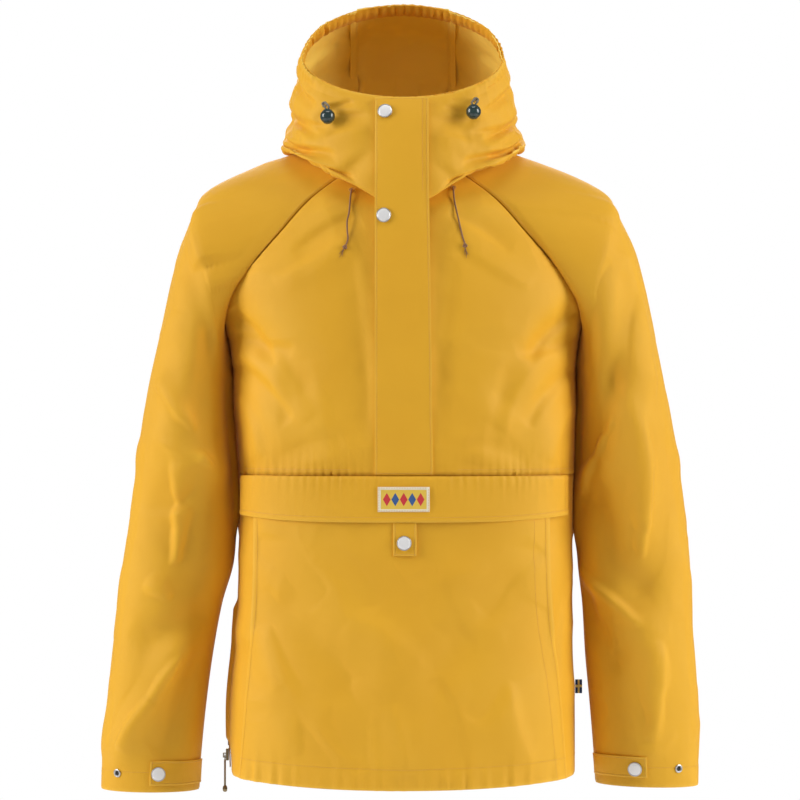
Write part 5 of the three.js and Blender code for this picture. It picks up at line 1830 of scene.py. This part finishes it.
def line_on(name, edge, inset, start=0.0, end=1.0):
    """Points and outward directions on a finished panel, at a distance in from one of its edges."""
    made = PANELS[name]
    away, outer, n = made["away"][edge], made["outer"], made["normal"]
    if edge in ("low", "high"):
        away, outer, n = away.T, outer.transpose(1, 0, 2), n.transpose(1, 0, 2)
    if edge in ("last", "high"):
        away, outer, n = away[:, ::-1], outer[:, ::-1], n[:, ::-1]
    rows = range(int(start * (len(away) - 1)), int(end * (len(away) - 1)) + 1)
    place = np.array([[np.interp(inset, away[r], outer[r, :, k]) for k in range(3)] for r in rows])
    lean = np.array([[np.interp(inset, away[r], n[r, :, k]) for k in range(3)] for r in rows])
    if made["wrap"] and edge in ("low", "high"):
        place, lean = np.vstack([place, place[:1]]), np.vstack([lean, lean[:1]])
    return place, lean


def stitches_on(place, lean):
    """Places and faces of the beads along one line."""
    run = np.concatenate([[0], np.cumsum(np.linalg.norm(np.diff(place, axis=0), axis=1))])
    starts = np.arange(0.4, run[-1] - STITCH["pitch"], STITCH["pitch"])
    at = lambda s, rows: np.stack([np.interp(s, run, rows[:, k]) for k in range(3)], -1)
    length = STITCH["pitch"] * STITCH["share"]
    along = at(starts + length, place) - at(starts, place)
    along = along / np.linalg.norm(along, axis=1)[:, None]
    up = at(starts + length / 2, lean)
    up = up / np.linalg.norm(up, axis=1)[:, None]
    side = np.cross(along, up)
    points = [at(starts, place) - up * 0.2]
    for share, swell in BEAD:
        middle = at(starts + share * length, place) + up * STITCH["lift"]
        wide, high = STITCH["wide"] * swell, STITCH["high"] * swell
        points += [middle + side * wide, middle + up * high, middle - side * wide, middle - up * high]
    points.append(at(starts + length, place) - up * 0.2)
    places = np.stack(points, 1)
    faces = [(0, 1 + (k + 1) % 4, 1 + k, -1) for k in range(4)]
    for ring in range(len(BEAD) - 1):
        low, high = 1 + 4 * ring, 5 + 4 * ring
        faces += [(low + k, low + (k + 1) % 4, high + (k + 1) % 4, high + k) for k in range(4)]
    last = 1 + 4 * len(BEAD)
    faces += [(last, last - 4 + k, last - 4 + (k + 1) % 4, -1) for k in range(4)]
    return places, faces


def add_stitches(name, lines):
    places, faces, total = [], [], 0
    for place, lean in lines:
        beads, pattern = stitches_on(place, lean)
        for i in range(len(beads)):
            faces += [tuple(total + k for k in face if k >= 0) for face in pattern]
            total += beads.shape[1]
        places.append(beads.reshape(-1, 3))
    mesh = bpy.data.meshes.new(name)
    mesh.from_pydata((np.concatenate(places) * MM).tolist(), [], faces)
    mesh.polygons.foreach_set("use_smooth", np.ones(len(faces), bool))
    mesh.materials.append(THREAD)
    piece = bpy.data.objects.new(name, mesh)
    scene.collection.objects.link(piece)
    settle(piece, "waxed_cloth")


def add_all_stitches():
    flap_name = "storm_flap_cloth"
    add_stitches("storm_flap_stitches", [
        line_on(flap_name, "first", INSET["flap"]),
        line_on(flap_name, "last", INSET["flap"]),
        line_on(flap_name, "last", INSET["flap_second"], 0.75, 1.0),
        line_on(flap_name, "low", INSET["flap"]),
        line_on(flap_name, "high", INSET["flap_top"]),
    ])
    add_stitches("chest_stitches", [
        line_on("chest_right_cloth", "low", INSET["chest"], 0.0, 0.8),
        line_on("chest_left_cloth", "low", INSET["chest"], 0.2, 1.0),
    ])
    add_stitches("pocket_stitches", [
        line_on("pocket_cloth", "first", INSET["pocket"]),
        line_on("pocket_cloth", "last", INSET["pocket"]),
        line_on("pocket_cloth", "last", INSET["pocket_second"], 0.0, 0.9),
        line_on("pocket_cloth", "low", INSET["pocket_hem"]),
        line_on("pocket_flap_cloth", "low", INSET["band"]),
        line_on("pocket_flap_cloth", "first", 3),
        line_on("pocket_flap_cloth", "first", 11),
        line_on("pocket_flap_cloth", "last", 3),
        line_on("pocket_flap_cloth", "last", 9),
        line_on("pocket_tab_cloth", "first", INSET["tab"]),
        line_on("pocket_tab_cloth", "last", INSET["tab"]),
        line_on("pocket_tab_cloth", "low", INSET["tab"]),
        line_on("patch_woven", "first", 1.2),
        line_on("patch_woven", "last", 1.2),
        line_on("patch_woven", "low", 1.2),
        line_on("patch_woven", "high", 1.2),
    ])
    add_stitches("hem_stitches", [
        line_on("front_lower_cloth", "low", INSET["hem"], 0.0, 0.07),
        line_on("front_lower_cloth", "low", INSET["hem"], 0.93, 1.0),
        line_on("back_cloth", "low", INSET["hem"]),
    ])
    for side_name in SIDE:
        tab = f"cuff_tab_{side_name}_cloth"
        add_stitches(f"sleeve_{side_name}_stitches", [
            line_on(f"sleeve_{side_name}_cloth", "low", INSET["sleeve"]),
            line_on(f"sleeve_{side_name}_cloth", "high", INSET["cuff"]),
            line_on(tab, "low", INSET["tab"]),
            line_on(tab, "high", INSET["tab"]),
            line_on(tab, "last", INSET["tab"]),
        ])
    add_stitches("hood_stitches", [
        line_on("hood_right_cloth", "last", INSET["hood"], HOOD_SEAM_SHARE),
        line_on("hood_left_cloth", "last", INSET["hood"], HOOD_SEAM_SHARE),
        line_on("hood_centre_cloth", "first", FELL_MM + INSET["hood_centre"], HOOD_SEAM_SHARE),
        line_on("hood_centre_cloth", "last", FELL_MM + INSET["hood_centre"], HOOD_SEAM_SHARE),
        line_on("hood_right_cloth", "high", CASING_WIDE, 0.75, 1.0),
        line_on("hood_left_cloth", "high", CASING_WIDE, 0.75, 1.0),
        line_on("hood_centre_cloth", "high", CASING_WIDE),
    ])


# The cloth panels, how each hangs and what lies beneath it
def declare_sheet(name):
    """Reads a panel's finished surface, closed round if it wraps, and does nothing further with it."""
    made = PANELS[name]
    outer = made["outer"]
    if made["wrap"]:
        outer = np.concatenate([outer, outer[:, :1]], 1)


SHEETS = [
    ("chest_right_cloth", "hung", []),
    ("chest_left_cloth", "hung", []),
    ("front_lower_cloth", "hung", []),
    ("back_cloth", "hung", []),
    ("sleeve_right_cloth", "hung", []),
    ("sleeve_left_cloth", "hung", []),
    ("hood_right_cloth", "draped", []),
    ("hood_left_cloth", "draped", []),
    ("hood_centre_cloth", "draped", []),
    ("hood_edge_cloth", "gathered", ["hood_right_cloth", "hood_left_cloth", "hood_centre_cloth"]),
    ("storm_flap_cloth", "laid", ["chest_right_cloth", "chest_left_cloth"]),
    ("pocket_cloth", "laid", ["front_lower_cloth"]),
    ("pocket_flap_cloth", "laid", ["pocket_cloth"]),
    ("pocket_tab_cloth", "laid", ["pocket_cloth"]),
    ("cuff_tab_right_cloth", "laid", ["sleeve_right_cloth"]),
    ("cuff_tab_left_cloth", "laid", ["sleeve_left_cloth"]),
    ("patch_woven", "laid", ["pocket_flap_cloth"]),
    ("flag_label", "folded", ["back_cloth"]),
    ("zip_tape_woven", "laid", ["back_cloth"]),
]

add_chest("chest_right", -1)
add_chest("chest_left", 1)
add_front_lower()
add_back()
for sleeve_name in SIDE:
    add_sleeve(sleeve_name)
    add_cuff_tab(sleeve_name)
add_hood_side("hood_right", -1)
add_hood_side("hood_left", 1)
add_hood_centre()
add_hood_edge()
add_storm_flap()
add_pocket()
add_pocket_flap()
add_pocket_tab()
add_patch()
add_side_label()
add_zip_tape()
add_teeth()
add_studs()
for cord_name in SIDE:
    add_hood_cord(cord_name)
    add_neck_eyelet(cord_name)
    add_knot(cord_name)
add_all_stitches()
for sheet_name, held, beneath in SHEETS:
    declare_sheet(sheet_name)
for kept in ("zip_slider", "zip_pull"):
    bpy.data.objects[kept].material_slots[0].material = ZIP_METAL


# Floor and light
FLOOR_Z = -1.2
FLOOR_RADIUS = 2.4
FLOOR_TONES = ((0.9, 0.9, 0.9), (0.8, 0.8, 0.8))


def add_floor():
    choose_nothing()
    bpy.ops.mesh.primitive_circle_add(
        vertices=128, radius=FLOOR_RADIUS, fill_type="NGON", location=(0, 0, FLOOR_Z),
    )
    floor = bpy.context.object
    floor.name = "floor"
    bpy.ops.object.transform_apply(location=True)
    made, tree, shader = material("pale_floor", FLOOR_TONES[0], Roughness=0.9)
    grain = noise(tree, on_piece(tree), 30)
    feed(tree, shader, Base_Color=blend_colour(tree, times(tree, grain, 0.2), *FLOOR_TONES))
    floor.data.materials.append(made)


# Soft boxes: place and size in metres, power in watts
LIGHTS = {
    "left_softbox": ((-3.6, -1.2, 0.8), (1.6, 2.6), 121),
    "right_softbox": ((3.6, -1.2, 0.8), (1.6, 2.6), 121),
    "top_softbox": ((0, -1.0, 3.2), (2.2, 1.0), 26),
    "back_softbox": ((0, 3.4, 1.2), (2.6, 2.0), 60),
}
LIGHT_AIM = Vector((0, 0, -0.3))


def add_soft_light(name, place, size, power):
    data = bpy.data.lights.new(name, "AREA")
    data.shape = "RECTANGLE"
    data.size, data.size_y = size
    data.energy = power
    light = bpy.data.objects.new(name, data)
    light.location = place
    light.rotation_euler = (LIGHT_AIM - Vector(place)).to_track_quat("-Z", "Y").to_euler()
    scene.collection.objects.link(light)


# The world's light is weak, and the camera sees it white
FILL = 0.2
WHITE = (1, 1, 1)


def add_world():
    world = bpy.data.worlds.new("studio")
    world.use_nodes = True
    tree = world.node_tree
    tree.nodes.clear()
    seen = feed(tree, node(tree, "ShaderNodeBackground"), Color=WHITE, Strength=1.0)
    fill = feed(tree, node(tree, "ShaderNodeBackground"), Color=WHITE, Strength=FILL)
    looked_at = node(tree, "ShaderNodeLightPath").outputs["Is Camera Ray"]
    mixed = node(tree, "ShaderNodeMixShader")
    for socket, source in zip(mixed.inputs, (looked_at, fill.outputs[0], seen.outputs[0])):
        connect(tree, socket, source)
    connect(tree, node(tree, "ShaderNodeOutputWorld").inputs[0], mixed.outputs[0])
    scene.world = world
    scene.view_settings.view_transform = "Standard"


add_floor()
for light_name, softbox in LIGHTS.items():
    add_soft_light(light_name, *softbox)
add_world()

for name, piece in CORDS.items():
    piece.data.materials.append(NECK_CORD_BRAID)
    settle(piece, "neck_drawcord", f"neck_cord_{name}")
    route = neck_route(name)
